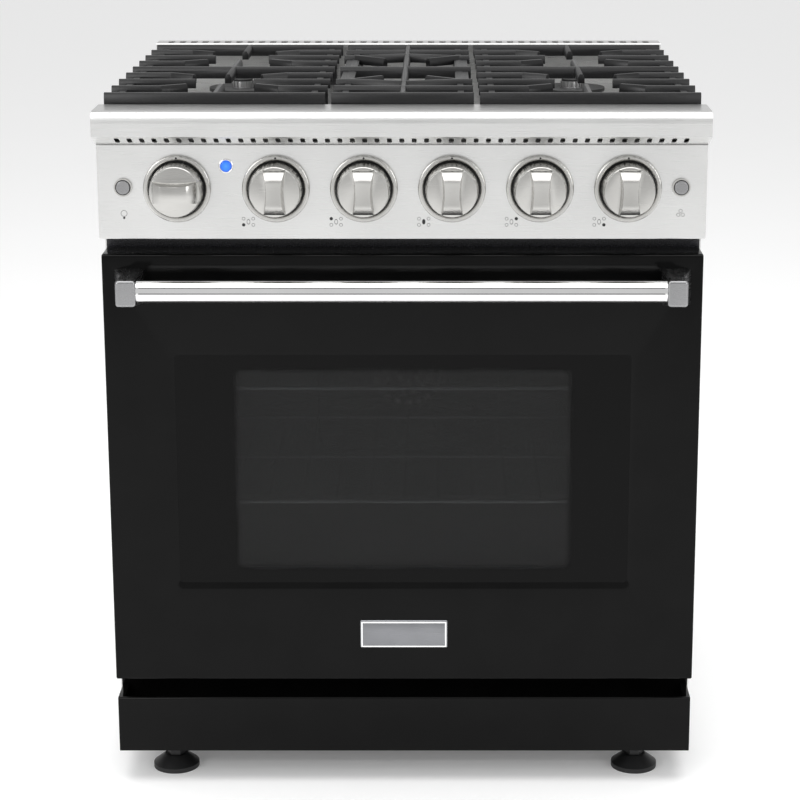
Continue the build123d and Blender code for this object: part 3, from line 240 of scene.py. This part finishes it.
def bumped(material, shader, height, depth_mm):
    """Raises the surface by a height pattern."""
    bump = add(material, "Bump", {"Height": height, "Distance": depth_mm * MM, "Strength": 1.0})
    plug(material, bump.outputs[0], shader, "Normal")


def surface(material, closure):
    """Makes a shader node the material's surface."""
    plug(material, closure.outputs[0], material.node_tree.nodes["Material Output"], "Surface")


def mottled(material, shader, pattern, dark, light):
    """Lets a pattern sway the colour between two hex colours."""
    mixed = tinted(material, swayed(material, pattern, 0, 1), dark, light)
    plug(material, mixed, shader, "Base Color")


def uneven(material, shader, pattern, rough):
    """Lets a pattern sway the roughness between its low and high value."""
    plug(material, swayed(material, pattern, *rough), shader, "Roughness")


# ---------------------------------------------------------------- finishes
def brushed_metal(name, dark, light, rough, grain_mm, depth_mm):
    """Metal with fine drawn lines: rough low and high, grain cell along X, Y and Z."""
    material, shader, place = begin(name, Metallic=1.0)
    lines = stretched_noise(material, place, grain_mm)
    # handling and rolling leave faint patches about a hand wide
    cloud = stretched_noise(material, place, (90, 140, 70), 2.0)
    mottled(material, shader, cloud, dark, light)
    uneven(material, shader, lines, rough)
    bumped(material, shader, lines, depth_mm)
    return material


def grained_metal(name, dark, light, rough, grain_mm, depth_mm):
    """Metal with an even speckle, as left by casting, plating or blasting."""
    material, shader, place = begin(name, Metallic=1.0)
    speck = stretched_noise(material, place, (grain_mm,) * 3)
    mottled(material, shader, speck, dark, light)
    uneven(material, shader, speck, rough)
    bumped(material, shader, speck, depth_mm)
    return material


def coating(name, dark, light, rough, wave_mm, depth_mm, **fixed):
    """A non-metal skin, such as fired enamel, paint or moulded plastic."""
    material, shader, place = begin(name, **fixed)
    wave = stretched_noise(material, place, (wave_mm,) * 3, 2.0)
    mottled(material, shader, wave, dark, light)
    uneven(material, shader, wave, rough)
    bumped(material, shader, wave, depth_mm)
    return material


def rounded_window(material, place, centre, half_x, half_z, radius):
    """Distance outside a rounded rectangle in the XZ plane, in metres, below zero inside."""
    split = add(material, "SeparateXYZ", {"Vector": place}).outputs
    sides = []
    for output, middle, half in ((split["X"], centre.x, half_x), (split["Z"], centre.z, half_z)):
        moved = add(material, "Math", {0: output, 1: middle}, operation="SUBTRACT").outputs[0]
        away = add(material, "Math", {0: moved}, operation="ABSOLUTE").outputs[0]
        straight = half - radius
        over = add(material, "Math", {0: away, 1: straight}, operation="SUBTRACT").outputs[0]
        sides.append(over)
    clipped = []
    for side in sides:
        clipped.append(add(material, "Math", {0: side, 1: 0.0}, operation="MAXIMUM").outputs[0])
    flat = add(material, "CombineXYZ", {"X": clipped[0], "Y": clipped[1]}).outputs[0]
    corner = add(material, "VectorMath", {0: flat}, operation="LENGTH").outputs["Value"]
    inner = add(material, "Math", {0: sides[0], 1: sides[1]}, operation="MAXIMUM").outputs[0]
    inside = add(material, "Math", {0: inner, 1: 0.0}, operation="MINIMUM").outputs[0]
    both = add(material, "Math", {0: corner, 1: inside}, operation="ADD").outputs[0]
    return add(material, "Math", {0: both, 1: radius}, operation="SUBTRACT").outputs[0]


def fired_dots(material, place, edge):
    """One where the black border is fired on, given the distance outside the clear window."""
    # dots 3 mm apart, coarser than real ones, so that they show with the whole range in view
    pitch = 3.0 * MM
    # a shift that keeps the place positive, so that the cells repeat evenly
    inputs = {0: place, 1: (10.0,) * 3}
    shifted = add(material, "VectorMath", inputs, operation="ADD").outputs[0]
    inputs = {0: shifted, 1: (pitch,) * 3}
    cell = add(material, "VectorMath", inputs, operation="MODULO").outputs[0]
    inputs = {0: cell, 1: (pitch / 2,) * 3}
    local = add(material, "VectorMath", inputs, operation="SUBTRACT").outputs[0]
    inputs = {0: local, 1: (1.0, 0.0, 1.0)}
    flat = add(material, "VectorMath", inputs, operation="MULTIPLY").outputs[0]
    from_dot = add(material, "VectorMath", {0: flat}, operation="LENGTH").outputs["Value"]
    # their radius falls from a closed border to little over the band inside the window's edge
    band = 10.0 * MM
    closed, fine = 0.75 * pitch, 0.15 * pitch
    inputs = {"Value": edge, "From Min": -band, "From Max": 0.0, "To Min": fine, "To Max": closed}
    grown = add(material, "MapRange", inputs).outputs[0]
    in_dot = add(material, "Math", {0: from_dot, 1: grown}, operation="LESS_THAN").outputs[0]
    near = add(material, "Math", {0: edge, 1: -band}, operation="GREATER_THAN").outputs[0]
    return add(material, "Math", {0: in_dot, 1: near}, operation="MULTIPLY").outputs[0]


def fritted_glass(name):
    """Tempered door glass: clear smoked window inside a black fired border that ends in dots."""
    material, shader, place = begin(
        name, Base_Color=srgb("030303"), Roughness=0.03, IOR=1.52, Specular_IOR_Level=0.1
    )
    side_border, end_border, corner = 22.0 * MM, 12.0 * MM, 16.0 * MM
    centre = (window_low + window_high) / 2
    half_x = (window_high.x - window_low.x) / 2 - side_border
    half_z = (window_high.z - window_low.z) / 2 - end_border
    edge = rounded_window(material, place, centre, half_x, half_z, corner)
    printed = fired_dots(material, place, edge)
    clear = add(material, "BsdfTransparent", {"Color": srgb("C8C8C8")})
    gloss = add(material, "BsdfGlossy", {"Color": srgb("FFFFFF"), "Roughness": 0.02})
    mirror = add(material, "Fresnel", {"IOR": 1.25}).outputs[0]
    pane = add(material, "MixShader", {0: mirror, 1: clear.outputs[0], 2: gloss.outputs[0]})
    border = shader.outputs[0]
    whole = add(material, "MixShader", {0: printed, 1: pane.outputs[0], 2: border})
    surface(material, whole)
    return material


def clear_glass(name, tint, rough):
    """Plain sheet glass that lets the light straight through and mirrors a little of it."""
    material, shader, place = begin(name, Base_Color=srgb(tint), IOR=1.5)
    haze = stretched_noise(material, place, (60, 60, 60), 2.0)
    uneven(material, shader, haze, rough)
    clear = add(material, "BsdfTransparent", {"Color": srgb(tint)})
    mirror = add(material, "Fresnel", {"IOR": 1.35}).outputs[0]
    pane = add(material, "MixShader", {0: mirror, 1: clear.outputs[0], 2: shader.outputs[0]})
    surface(material, pane)
    return material


def lit_lens(name):
    """Moulded blue lamp lens with a glow that is brighter at its middle."""
    material, shader, place = begin(
        name, Base_Color=srgb("1E63D6"), Roughness=0.12, IOR=1.49, Emission_Strength=0.55
    )
    low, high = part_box("indicator_lens")
    middle = (low + high) / 2
    middle.y = low.y
    inputs = {0: place, 1: middle}
    away = add(material, "VectorMath", inputs, operation="DISTANCE").outputs["Value"]
    glow_reach = 7.0 * MM
    inputs = {"Value": away, "From Min": 0.0, "From Max": glow_reach, "To Min": 1.0, "To Max": 0.0}
    near = add(material, "MapRange", inputs).outputs[0]
    plug(material, tinted(material, near, "0B3FA8", "5FA6FF"), shader, "Emission Color")
    return material


def mineral_wool(name):
    """Yellow fibre blanket: matted strands that catch the light unevenly."""
    return coating(name, "B79F4C", "DCC878", (0.85, 0.98), 3.0, 1.2)


def woven_gasket(name):
    """Braided fibre seal: dark strands 1.5 mm wide that cross."""
    material, shader, place = begin(name, Roughness=0.9)
    strand = 1.5 * MM
    inputs = {"Vector": place, "Scale": Vector((1 / strand,) * 3), "Rotation": (0, math.pi / 4, 0)}
    fitted = add(material, "Mapping", inputs)
    braid = add(material, "TexChecker", {"Vector": fitted.outputs[0], "Scale": 1.0}).outputs["Fac"]
    plug(material, tinted(material, braid, "23211F", "37342F"), shader, "Base Color")
    bumped(material, shader, braid, 0.3)
    return material


# brush lines 60 mm long and 0.7 mm wide, coarser than real ones so that they show
ALONG_X = (60.0, 0.7, 0.7)


def make_finishes():
    """Every finish by its material slot."""
    return {
        # brushed 430 stainless: fine level lines, soft grey reflections
        "stainless_brushed": brushed_metal(
            "brushed_stainless", "D2D2D1", "D8D8D7", (0.25, 0.37), ALONG_X, 0.006
        ),
        # hot-dip galvanised sheet: dull grey with faint spangle 12 mm wide
        "galvanised_steel": grained_metal(
            "galvanised_sheet", "8B8E90", "A3A6A8", (0.38, 0.52), 12.0, 0.02
        ),
        # gloss black porcelain enamel, slightly wavy as fired enamel is
        "black_enamel": coating(
            "gloss_black_enamel",
            "050505",
            "080808",
            (0.09, 0.13),
            60.0,
            0.03,
            Specular_IOR_Level=0.11,
        ),
        # speckled dark oven enamel: near black with fine pale grains
        "dark_enamel": coating("oven_enamel", "101013", "1C1C22", (0.22, 0.34), 1.2, 0.03),
        # matt enamel on cast iron: the sand mould shows through as a fine pebble
        "cast_iron_enamel": coating(
            "enamelled_cast_iron",
            "0D0D0E",
            "151516",
            (0.30, 0.42),
            1.6,
            0.10,
            Specular_IOR_Level=0.35,
        ),
        # die-cast aluminium burner: pale, matt, fine grain
        "burner_aluminium": grained_metal(
            "cast_aluminium", "C4C4C4", "D6D6D6", (0.28, 0.42), 0.8, 0.02
        ),
        # matt black enamel of the burner caps: soft sheen, fine grain
        "burner_enamel": coating("matt_black_enamel", "101010", "191919", (0.38, 0.50), 0.9, 0.03),
        # glazed alumina: white with a soft gloss
        "ceramic": coating("glazed_ceramic", "E6E3DA", "F2F0EA", (0.18, 0.30), 4.0, 0.01),
        # satin nickel plate on turned zinc: warm grey with fine lines
        "satin_nickel": brushed_metal(
            "satin_nickel", "B4B3B0", "BEBDBA", (0.20, 0.28), (25.0, 25.0, 0.6), 0.002
        ),
        # yellow brass, machined: warm and half bright
        "valve_brass": grained_metal("machined_brass", "A98645", "C6A35C", (0.22, 0.34), 1.5, 0.01),
        # polished stainless tube: bright, with faint polishing lines
        "polished_steel": brushed_metal(
            "polished_stainless", "E4E4E4", "EEEEEE", (0.07, 0.13), ALONG_X, 0.001
        ),
        # moulded acrylic lens over a lamp: blue, glossy, lit from behind
        "blue_lens": lit_lens("blue_lamp_lens"),
        # seamless steel tube with a thin oil film: dark grey, half bright
        "steel_tube": grained_metal("steel_tube", "6B6D70", "84868A", (0.28, 0.42), 3.0, 0.01),
        # drawn aluminium tube: pale and satin
        "aluminium_tube": grained_metal(
            "drawn_aluminium", "A9ABAD", "C2C4C6", (0.25, 0.38), 1.2, 0.01
        ),
        # sand-cast zinc housing: grey, rough, pebbled by the mould
        "regulator_casting": grained_metal(
            "sand_cast_zinc", "7E8183", "9A9C9F", (0.42, 0.60), 1.5, 0.10
        ),
        # needled mineral fibre blanket: dull yellow, never shiny
        "fibreglass": mineral_wool("mineral_wool"),
        # braided glass fibre cord: dark, matt, cross-woven
        "gasket_fibre": woven_gasket("braided_gasket"),
        # chrome plated wire: bright, with soft waves left by drawing
        "rack_chrome": brushed_metal(
            "chromed_wire", "C2C2C4", "D4D4D6", (0.08, 0.16), (20.0, 20.0, 20.0), 0.001
        ),
        # aluminised steel blade: dull silver, lightly spotted
        "fan_steel": grained_metal("aluminised_steel", "8D8E8E", "A6A7A7", (0.34, 0.46), 2.0, 0.02),
        # zinc plated steel shell of the motor: blue-grey with a fine grain
        "motor_steel": grained_metal(
            "zinc_plated_steel", "63656A", "7C7F84", (0.30, 0.45), 2.5, 0.02
        ),
        # pressed heat-proof glass cover: clear with a warm tint
        "lamp_glass": clear_glass("lamp_glass", "F3F1E6", (0.05, 0.12)),
        # pressed zinc-plated steel of the hinges: plain grey, half dull
        "hinge_steel": grained_metal("pressed_steel", "7B7C7E", "939496", (0.30, 0.42), 2.0, 0.01),
        # tempered float glass: smoked window in a black fired border
        "outer_glass": fritted_glass("fritted_door_glass"),
        # tempered float glass: polished and barely tinted
        "inner_glass": clear_glass("inner_door_glass", "E4E6E6", (0.01, 0.03)),
        # die-cast brackets and button caps, satin chromed: darker and softer than the bar
        "bracket": brushed_metal(
            "satin_chrome", "8E8E8F", "9A9A9B", (0.22, 0.30), (8.0, 30.0, 1.0), 0.001
        ),
        # etched aluminium plate: grey, with level lines
        "badge": brushed_metal(
            "etched_aluminium", "7C7D80", "8C8D90", (0.26, 0.36), ALONG_X, 0.003
        ),
        # moulded black nylon with a fine spark texture
        "black_plastic": coating("moulded_nylon", "0E0E0F", "161617", (0.42, 0.56), 0.7, 0.05),
    }


finishes = {}
SPECIAL = {
    "handle_brackets": "bracket",
    "button_light": "bracket",
    "button_fan": "bracket",
    "badge_plate": "badge",
}


def finish_of(node):
    """The finish of a CAD node: its own where it differs from its slot's."""
    return finishes[SPECIAL.get(node, NODE_SLOT[node])]


def paint(obj, material):
    """Gives a piece one finish all over."""
    obj.data.materials.clear()
    obj.data.materials.append(material)


# ---------------------------------------------------------------- mesh tools
def fresh():
    """Nothing selected, object mode."""
    if bpy.context.object and bpy.context.object.mode != "OBJECT":
        bpy.ops.object.mode_set(mode="OBJECT")
    bpy.ops.object.select_all(action="DESELECT")


def only(obj):
    """obj alone selected and active."""
    fresh()
    obj.select_set(True)
    bpy.context.view_layer.objects.active = obj


def settle(obj):
    """Puts the place, turn and scale of a piece into its mesh."""
    only(obj)
    bpy.ops.object.transform_apply(location=True, rotation=True, scale=True)
    return obj


def apply_modifier(obj, kind, **settings):
    """Adds a modifier to a piece and applies it."""
    only(obj)
    modifier = obj.modifiers.new(kind.title(), kind)
    for name, value in settings.items():
        setattr(modifier, name, value)
    bpy.ops.object.modifier_apply(modifier=modifier.name)


def smooth(obj, degrees):
    """Smooth shading across gentle bends only."""
    only(obj)
    bpy.ops.object.shade_smooth_by_angle(angle=math.radians(degrees))


def cad_copy(node):
    """A cleaned copy of a CAD node's mesh, to be shaped further and stand for it."""
    same_point = 0.01 * MM
    same_plane = math.radians(0.3)
    copy = bpy.data.objects.new(node + "_soft", frame["nodes"][node].data.copy())
    bpy.context.scene.collection.objects.link(copy)
    only(copy)
    bpy.ops.object.mode_set(mode="EDIT")
    bpy.ops.mesh.select_all(action="SELECT")
    bpy.ops.mesh.customdata_custom_splitnormals_clear()
    bpy.ops.mesh.remove_doubles(threshold=same_point)
    bpy.ops.mesh.dissolve_limited(angle_limit=same_plane)
    bpy.ops.object.mode_set(mode="OBJECT")
    return copy


def soften(node, width):
    """Stands a copy with rounded edges in for a CAD node."""
    copy = cad_copy(node)
    apply_modifier(
        copy,
        "BEVEL",
        width=width,
        segments=2,
        limit_method="ANGLE",
        angle_limit=math.radians(28),
        use_clamp_overlap=True,
    )
    smooth(copy, 40)
    paint(copy, finish_of(node))
    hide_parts(node)
    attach(copy, NODE_BODY[node])


def face_of(node):
    """Middle x, middle z and half width of a node as seen from the front."""
    low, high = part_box(node)
    return (low.x + high.x) / 2, (low.z + high.z) / 2, (high.x - low.x) / 2


def front_disc(name, x, z, y, radius, height, vertices, bore=0.0):
    """A disc, or a ring around a bore, lying at y and standing height towards the front."""
    fresh()
    bpy.ops.mesh.primitive_circle_add(
        vertices=vertices,
        radius=radius,
        fill_type="NGON",
        location=(x, y, z),
        rotation=(math.pi / 2, 0, 0),
    )
    disc = bpy.context.object
    disc.name = name
    bpy.ops.object.mode_set(mode="EDIT")
    bpy.ops.mesh.select_all(action="SELECT")
    if bore:
        bpy.ops.mesh.inset(thickness=radius - bore)
        bpy.ops.mesh.delete(type="FACE")
        bpy.ops.mesh.select_all(action="SELECT")
    bpy.ops.mesh.extrude_region_move(TRANSFORM_OT_translate={"value": (0, -height, 0)})
    bpy.ops.mesh.select_all(action="SELECT")
    bpy.ops.mesh.normals_make_consistent(inside=False)
    bpy.ops.object.mode_set(mode="OBJECT")
    return settle(disc)


def joined(name, pieces):
    """Several meshes as one piece."""
    fresh()
    for piece in pieces:
        piece.select_set(True)
    bpy.context.view_layer.objects.active = pieces[0]
    bpy.ops.object.join()
    whole = bpy.context.object
    whole.name = name
    return whole


def finish_piece(obj, slot, body):
    """Gives a new piece the finish of its slot and puts it on its body."""
    paint(obj, finishes[slot])
    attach(obj, body)


# ---------------------------------------------------------------- operators
class OBJECT_OT_range_finishes(bpy.types.Operator):
    """Gives every piece of the range its finish"""

    bl_idname = "object.range_finishes"
    bl_label = "Range finishes"

    def execute(self, context):
        finishes.update(make_finishes())
        for node in NODE_SLOT:
            paint(frame["nodes"][node], finish_of(node))
        return {"FINISHED"}


class OBJECT_OT_range_grates(bpy.types.Operator):
    """Rounds the edges of the cast grates"""

    bl_idname = "object.range_grates"
    bl_label = "Grates"

    def execute(self, context):
        edges = context.scene.range_edges
        for node in ("grate_left", "grate_center", "grate_right"):
            soften(node, edges.casting)
        return {"FINISHED"}


class OBJECT_OT_range_sheet(bpy.types.Operator):
    """Rounds the edges of the folded and fired sheet pieces"""

    bl_idname = "object.range_sheet"
    bl_label = "Sheet pieces"

    def execute(self, context):
        edges = context.scene.range_edges
        for node in ("badge_plate", "burner_caps", "center_burner_cap"):
            soften(node, edges.sheet)
        for node in ("door_skin", "kick_panel"):
            soften(node, edges.door)
        return {"FINISHED"}


class OBJECT_OT_range_knobs(bpy.types.Operator):
    """Rounds the edges of the knobs"""

    bl_idname = "object.range_knobs"
    bl_label = "Knobs"

    def execute(self, context):
        edges = context.scene.range_edges
        for node in KNOBS:
            soften(node, edges.knob)
        return {"FINISHED"}


class OBJECT_OT_range_wells(bpy.types.Operator):
    """Adds black discs behind the knobs as painted shade in the gap around each knob, the index
    dots and the small rings
    """

    bl_idname = "object.range_wells"
    bl_label = "Gap_shades, dots and rings"

    def execute(self, context):
        marks = context.scene.range_marks
        trims = context.scene.range_trims
        gap_shades = []
        dots = []
        for node in KNOBS:
            x, z, _ = face_of(node)
            # painted shade: a black disc on the panel behind each knob, seen as the dark gap
            # between the bezel and the knob
            place = (x, z, panel_face)
            radius = ring_reach - trims.gap_shade_inset
            gap_shades.append(front_disc("gap_shade", *place, radius, trims.gap_shade_height, 64, trims.gap_shade_bore))
            place = (x, z + ring_reach - trims.dot_inset, rings_low.y)
            dots.append(front_disc("dot", *place, marks.dot_radius, marks.ink, 24))
        # the black discs of painted shade behind the knobs, joined as one piece
        finish_piece(joined("knob_gap_shades", gap_shades), "black_plastic", "root")
        finish_piece(joined("index_dots", dots), "black_plastic", "root")
        seals = []
        for node in ("button_light", "button_fan"):
            x, z, reach = face_of(node)
            place = (x, z, panel_face - trims.seal_rise)
            bore = reach + trims.seal_gap
            radius = bore + trims.seal_width
            seals.append(front_disc("seal", *place, radius, trims.seal_height, 48, bore))
        finish_piece(joined("button_seals", seals), "black_plastic", "root")
        x, z, reach = face_of("indicator_lens")
        fresh()
        bpy.ops.mesh.primitive_torus_add(
            location=(x, panel_face, z),
            rotation=(math.pi / 2, 0, 0),
            major_radius=reach + trims.lamp_gap,
            minor_radius=trims.lamp_wire,
            major_segments=64,
            minor_segments=16,
        )
        ring = settle(bpy.context.object)
        ring.name = "lamp_ring"
        smooth(ring, 60)
        finish_piece(ring, "polished_steel", "root")
        return {"FINISHED"}


class OBJECT_OT_range_handle(bpy.types.Operator):
    """Lays the black strips into the grooves of the handle"""

    bl_idname = "object.range_handle"
    bl_label = "Handle strips"

    def execute(self, context):
        trims = context.scene.range_trims
        low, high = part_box("handle_bar")
        middle = (low + high) / 2
        radius = (high.z - low.z) / 2
        size = (2 * (high.x - trims.strip_inset), trims.strip_depth, trims.strip_width, 1)
        strips = []
        for degrees in STRIP_ANGLES:
            fresh()
            bpy.ops.mesh.primitive_cube_add(size=1.0, location=(0, 0, 0))
            strip = bpy.context.object
            strip.data.transform(Matrix.Diagonal(size))
            strip.data.transform(Matrix.Translation((0, trims.strip_sink - radius, 0)))
            strip.data.transform(Matrix.Rotation(math.radians(-degrees), 4, "X"))
            strip.data.transform(Matrix.Translation(middle))
            strips.append(strip)
        inlay = joined("handle_strips", strips)
        finish_piece(inlay, "black_plastic", "door")
        return {"FINISHED"}


class OBJECT_OT_range_badge(bpy.types.Operator):
    """Frames the blank badge with a bright raised border"""

    bl_idname = "object.range_badge"
    bl_label = "Badge border"

    def execute(self, context):
        trims = context.scene.range_trims
        low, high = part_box("badge_plate")
        middle = (low + high) / 2
        width = high.x - low.x - 2 * trims.badge_margin
        height = high.z - low.z - 2 * trims.badge_margin
        fresh()
        bpy.ops.mesh.primitive_plane_add(size=1.0, location=(0, 0, 0), rotation=(math.pi / 2, 0, 0))
        border = settle(bpy.context.object)
        border.name = "badge_border"
        border.data.transform(Matrix.Diagonal((width, 1, height, 1)))
        border.data.transform(Matrix.Translation((middle.x, low.y, middle.z)))
        bpy.ops.object.mode_set(mode="EDIT")
        bpy.ops.mesh.select_all(action="SELECT")
        bpy.ops.mesh.inset(thickness=trims.badge_border)
        bpy.ops.mesh.delete(type="FACE")
        bpy.ops.mesh.select_all(action="SELECT")
        rise = (0, -trims.badge_rise, 0)
        bpy.ops.mesh.extrude_region_move(TRANSFORM_OT_translate={"value": rise})
        bpy.ops.mesh.select_all(action="SELECT")
        bpy.ops.mesh.normals_make_consistent(inside=False)
        bpy.ops.object.mode_set(mode="OBJECT")
        apply_modifier(border, "BEVEL", width=trims.badge_edge, segments=2)
        finish_piece(border, "polished_steel", "door")
        return {"FINISHED"}


class OBJECT_OT_range_icons(bpy.types.Operator):
    """Prints the burner signs beside the knobs and a bulb and a fan under the buttons"""

    bl_idname = "object.range_icons"
    bl_label = "Printed signs"

    def execute(self, context):
        marks = context.scene.range_marks
        hollow = marks.icon_circle - marks.icon_line
        signs = []
        for burner in BURNER_ORDER:
            knob_x, knob_z, _ = face_of("knob_" + burner)
            centre_x = knob_x - marks.icon_left
            centre_z = knob_z - marks.icon_below
            for corner, (across, up) in CORNERS.items():
                x = centre_x + across * marks.icon_across
                z = centre_z + up * marks.icon_down
                size = (marks.icon_circle, marks.ink, 24, 0.0 if corner == burner else hollow)
                signs.append(front_disc("sign", x, z, panel_face, *size))
            size = (marks.icon_circle, marks.ink, 24, 0.0 if burner == "center" else hollow)
            oval = front_disc("sign", centre_x, centre_z, panel_face, *size)
            stretch = Matrix.Translation((0, 0, centre_z)) @ Matrix.Diagonal((1, 1, 1.6, 1))
            oval.data.transform(stretch @ Matrix.Translation((0, 0, -centre_z)))
            signs.append(oval)
        x, z, _ = face_of("button_light")
        z -= marks.button_sign_drop
        size = (marks.bulb, marks.ink, 32, marks.bulb - marks.icon_line)
        signs.append(front_disc("sign", x, z, panel_face, *size))
        size = (marks.bulb_cap, marks.ink, 4)
        signs.append(front_disc("sign", x, z - marks.bulb_cap_drop, panel_face, *size))
        x, z, _ = face_of("button_fan")
        z -= marks.button_sign_drop
        size = (marks.blade, marks.ink, 24, marks.blade - marks.icon_line)
        for degrees in (90, 210, 330):
            across = marks.blade_reach * math.cos(math.radians(degrees))
            up = marks.blade_reach * math.sin(math.radians(degrees))
            signs.append(front_disc("sign", x + across, z + up, panel_face, *size))
        finish_piece(joined("printed_signs", signs), "black_plastic", "root")
        return {"FINISHED"}


class OBJECT_OT_range_stage(bpy.types.Operator):
    """Adds the floor, the lights and the camera"""

    bl_idname = "object.range_stage"
    bl_label = "Studio"

    def execute(self, context):
        studio = context.scene.range_studio
        scene = context.scene
        fresh()
        bpy.ops.mesh.primitive_grid_add(x_subdivisions=24, y_subdivisions=24, size=80.0)
        floor = bpy.context.object
        floor.name = "studio_floor"
        glow = {"Emission_Color": srgb("FFFFFF"), "Emission_Strength": studio.floor_glow}
        colours = (studio.floor_colour, studio.floor_colour)
        paint(floor, coating("painted_floor", *colours, (0.55, 0.65), 400.0, 0.0, **glow))
        world = bpy.data.worlds.new("studio_air")
        world.use_nodes = True
        air = world.node_tree.nodes["Background"]
        air.inputs["Color"].default_value = srgb("FFFFFF")
        air.inputs["Strength"].default_value = studio.air_glow
        scene.world = world
        scene.view_settings.view_transform = "Standard"
        lights = [
            # name, place, watts, width, height
            ("overhead", (0.0, -0.6, 3.4), 80.0, 3.4, 3.0),
            ("front_left", (-2.8, -3.4, 2.4), 70.0, 1.8, 2.4),
            ("front_right", (3.0, -3.2, 2.0), 40.0, 1.8, 2.4),
        ]
        for name, place, watts, width, height in lights:
            fresh()
            bpy.ops.object.light_add(type="AREA", location=place)
            lamp = bpy.context.object
            lamp.name = name
            lamp.data.energy = watts
            lamp.data.shape = "RECTANGLE"
            lamp.data.size = width
            lamp.data.size_y = height
            aim = LIGHT_TARGET - Vector(place)
            lamp.rotation_euler = aim.to_track_quat("-Z", "Y").to_euler()
        fresh()
        bpy.ops.object.camera_add(
            location=(studio.camera_x, studio.camera_y, studio.camera_z),
            rotation=(math.pi / 2 - studio.pitch, 0, 0),
        )
        camera = bpy.context.object
        camera.data.lens = studio.lens
        camera.data.sensor_width = 36.0
        camera.data.shift_x = studio.shift_x
        camera.data.shift_y = studio.shift_y
        camera.data.dof.use_dof = False
        scene.camera = camera
        return {"FINISHED"}


class VIEW3D_PT_range(bpy.types.Panel):
    """The range's pieces and settings"""

    bl_idname = "VIEW3D_PT_range"
    bl_label = "Gas range"
    bl_space_type = "VIEW_3D"
    bl_region_type = "UI"
    bl_category = "Range"

    def draw(self, context):
        for operator in OPERATORS:
            self.layout.operator(operator.bl_idname)
        for name in GROUP_NAMES:
            group = getattr(context.scene, name)
            for setting in group.bl_rna.properties.keys():
                if setting not in ("rna_type", "name"):
                    self.layout.prop(group, setting)


SETTINGS = [RangeEdgeSettings, RangeMarkSettings, RangeTrimSettings, RangeStudioSettings]
GROUP_NAMES = ("range_edges", "range_marks", "range_trims", "range_studio")
OPERATORS = [
    OBJECT_OT_range_finishes,
    OBJECT_OT_range_grates,
    OBJECT_OT_range_sheet,
    OBJECT_OT_range_knobs,
    OBJECT_OT_range_wells,
    OBJECT_OT_range_handle,
    OBJECT_OT_range_badge,
    OBJECT_OT_range_icons,
    OBJECT_OT_range_stage,
]


def register():
    """Registers the settings, operators and panel."""
    for group in SETTINGS + OPERATORS + [VIEW3D_PT_range]:
        bpy.utils.register_class(group)
    for name, group in zip(GROUP_NAMES, SETTINGS):
        setattr(bpy.types.Scene, name, bpy.props.PointerProperty(type=group))


def unregister():
    """Takes them out again."""
    for name in GROUP_NAMES:
        delattr(bpy.types.Scene, name)
    for group in reversed(SETTINGS + OPERATORS + [VIEW3D_PT_range]):
        bpy.utils.unregister_class(group)


def main():
    """Builds the range's looks in order."""
    register()
    bpy.ops.object.range_finishes()
    bpy.ops.object.range_grates()
    bpy.ops.object.range_sheet()
    bpy.ops.object.range_knobs()
    bpy.ops.object.range_wells()
    bpy.ops.object.range_handle()
    bpy.ops.object.range_badge()
    bpy.ops.object.range_icons()
    bpy.ops.object.range_stage()


if __name__ == "__main__":
    main()
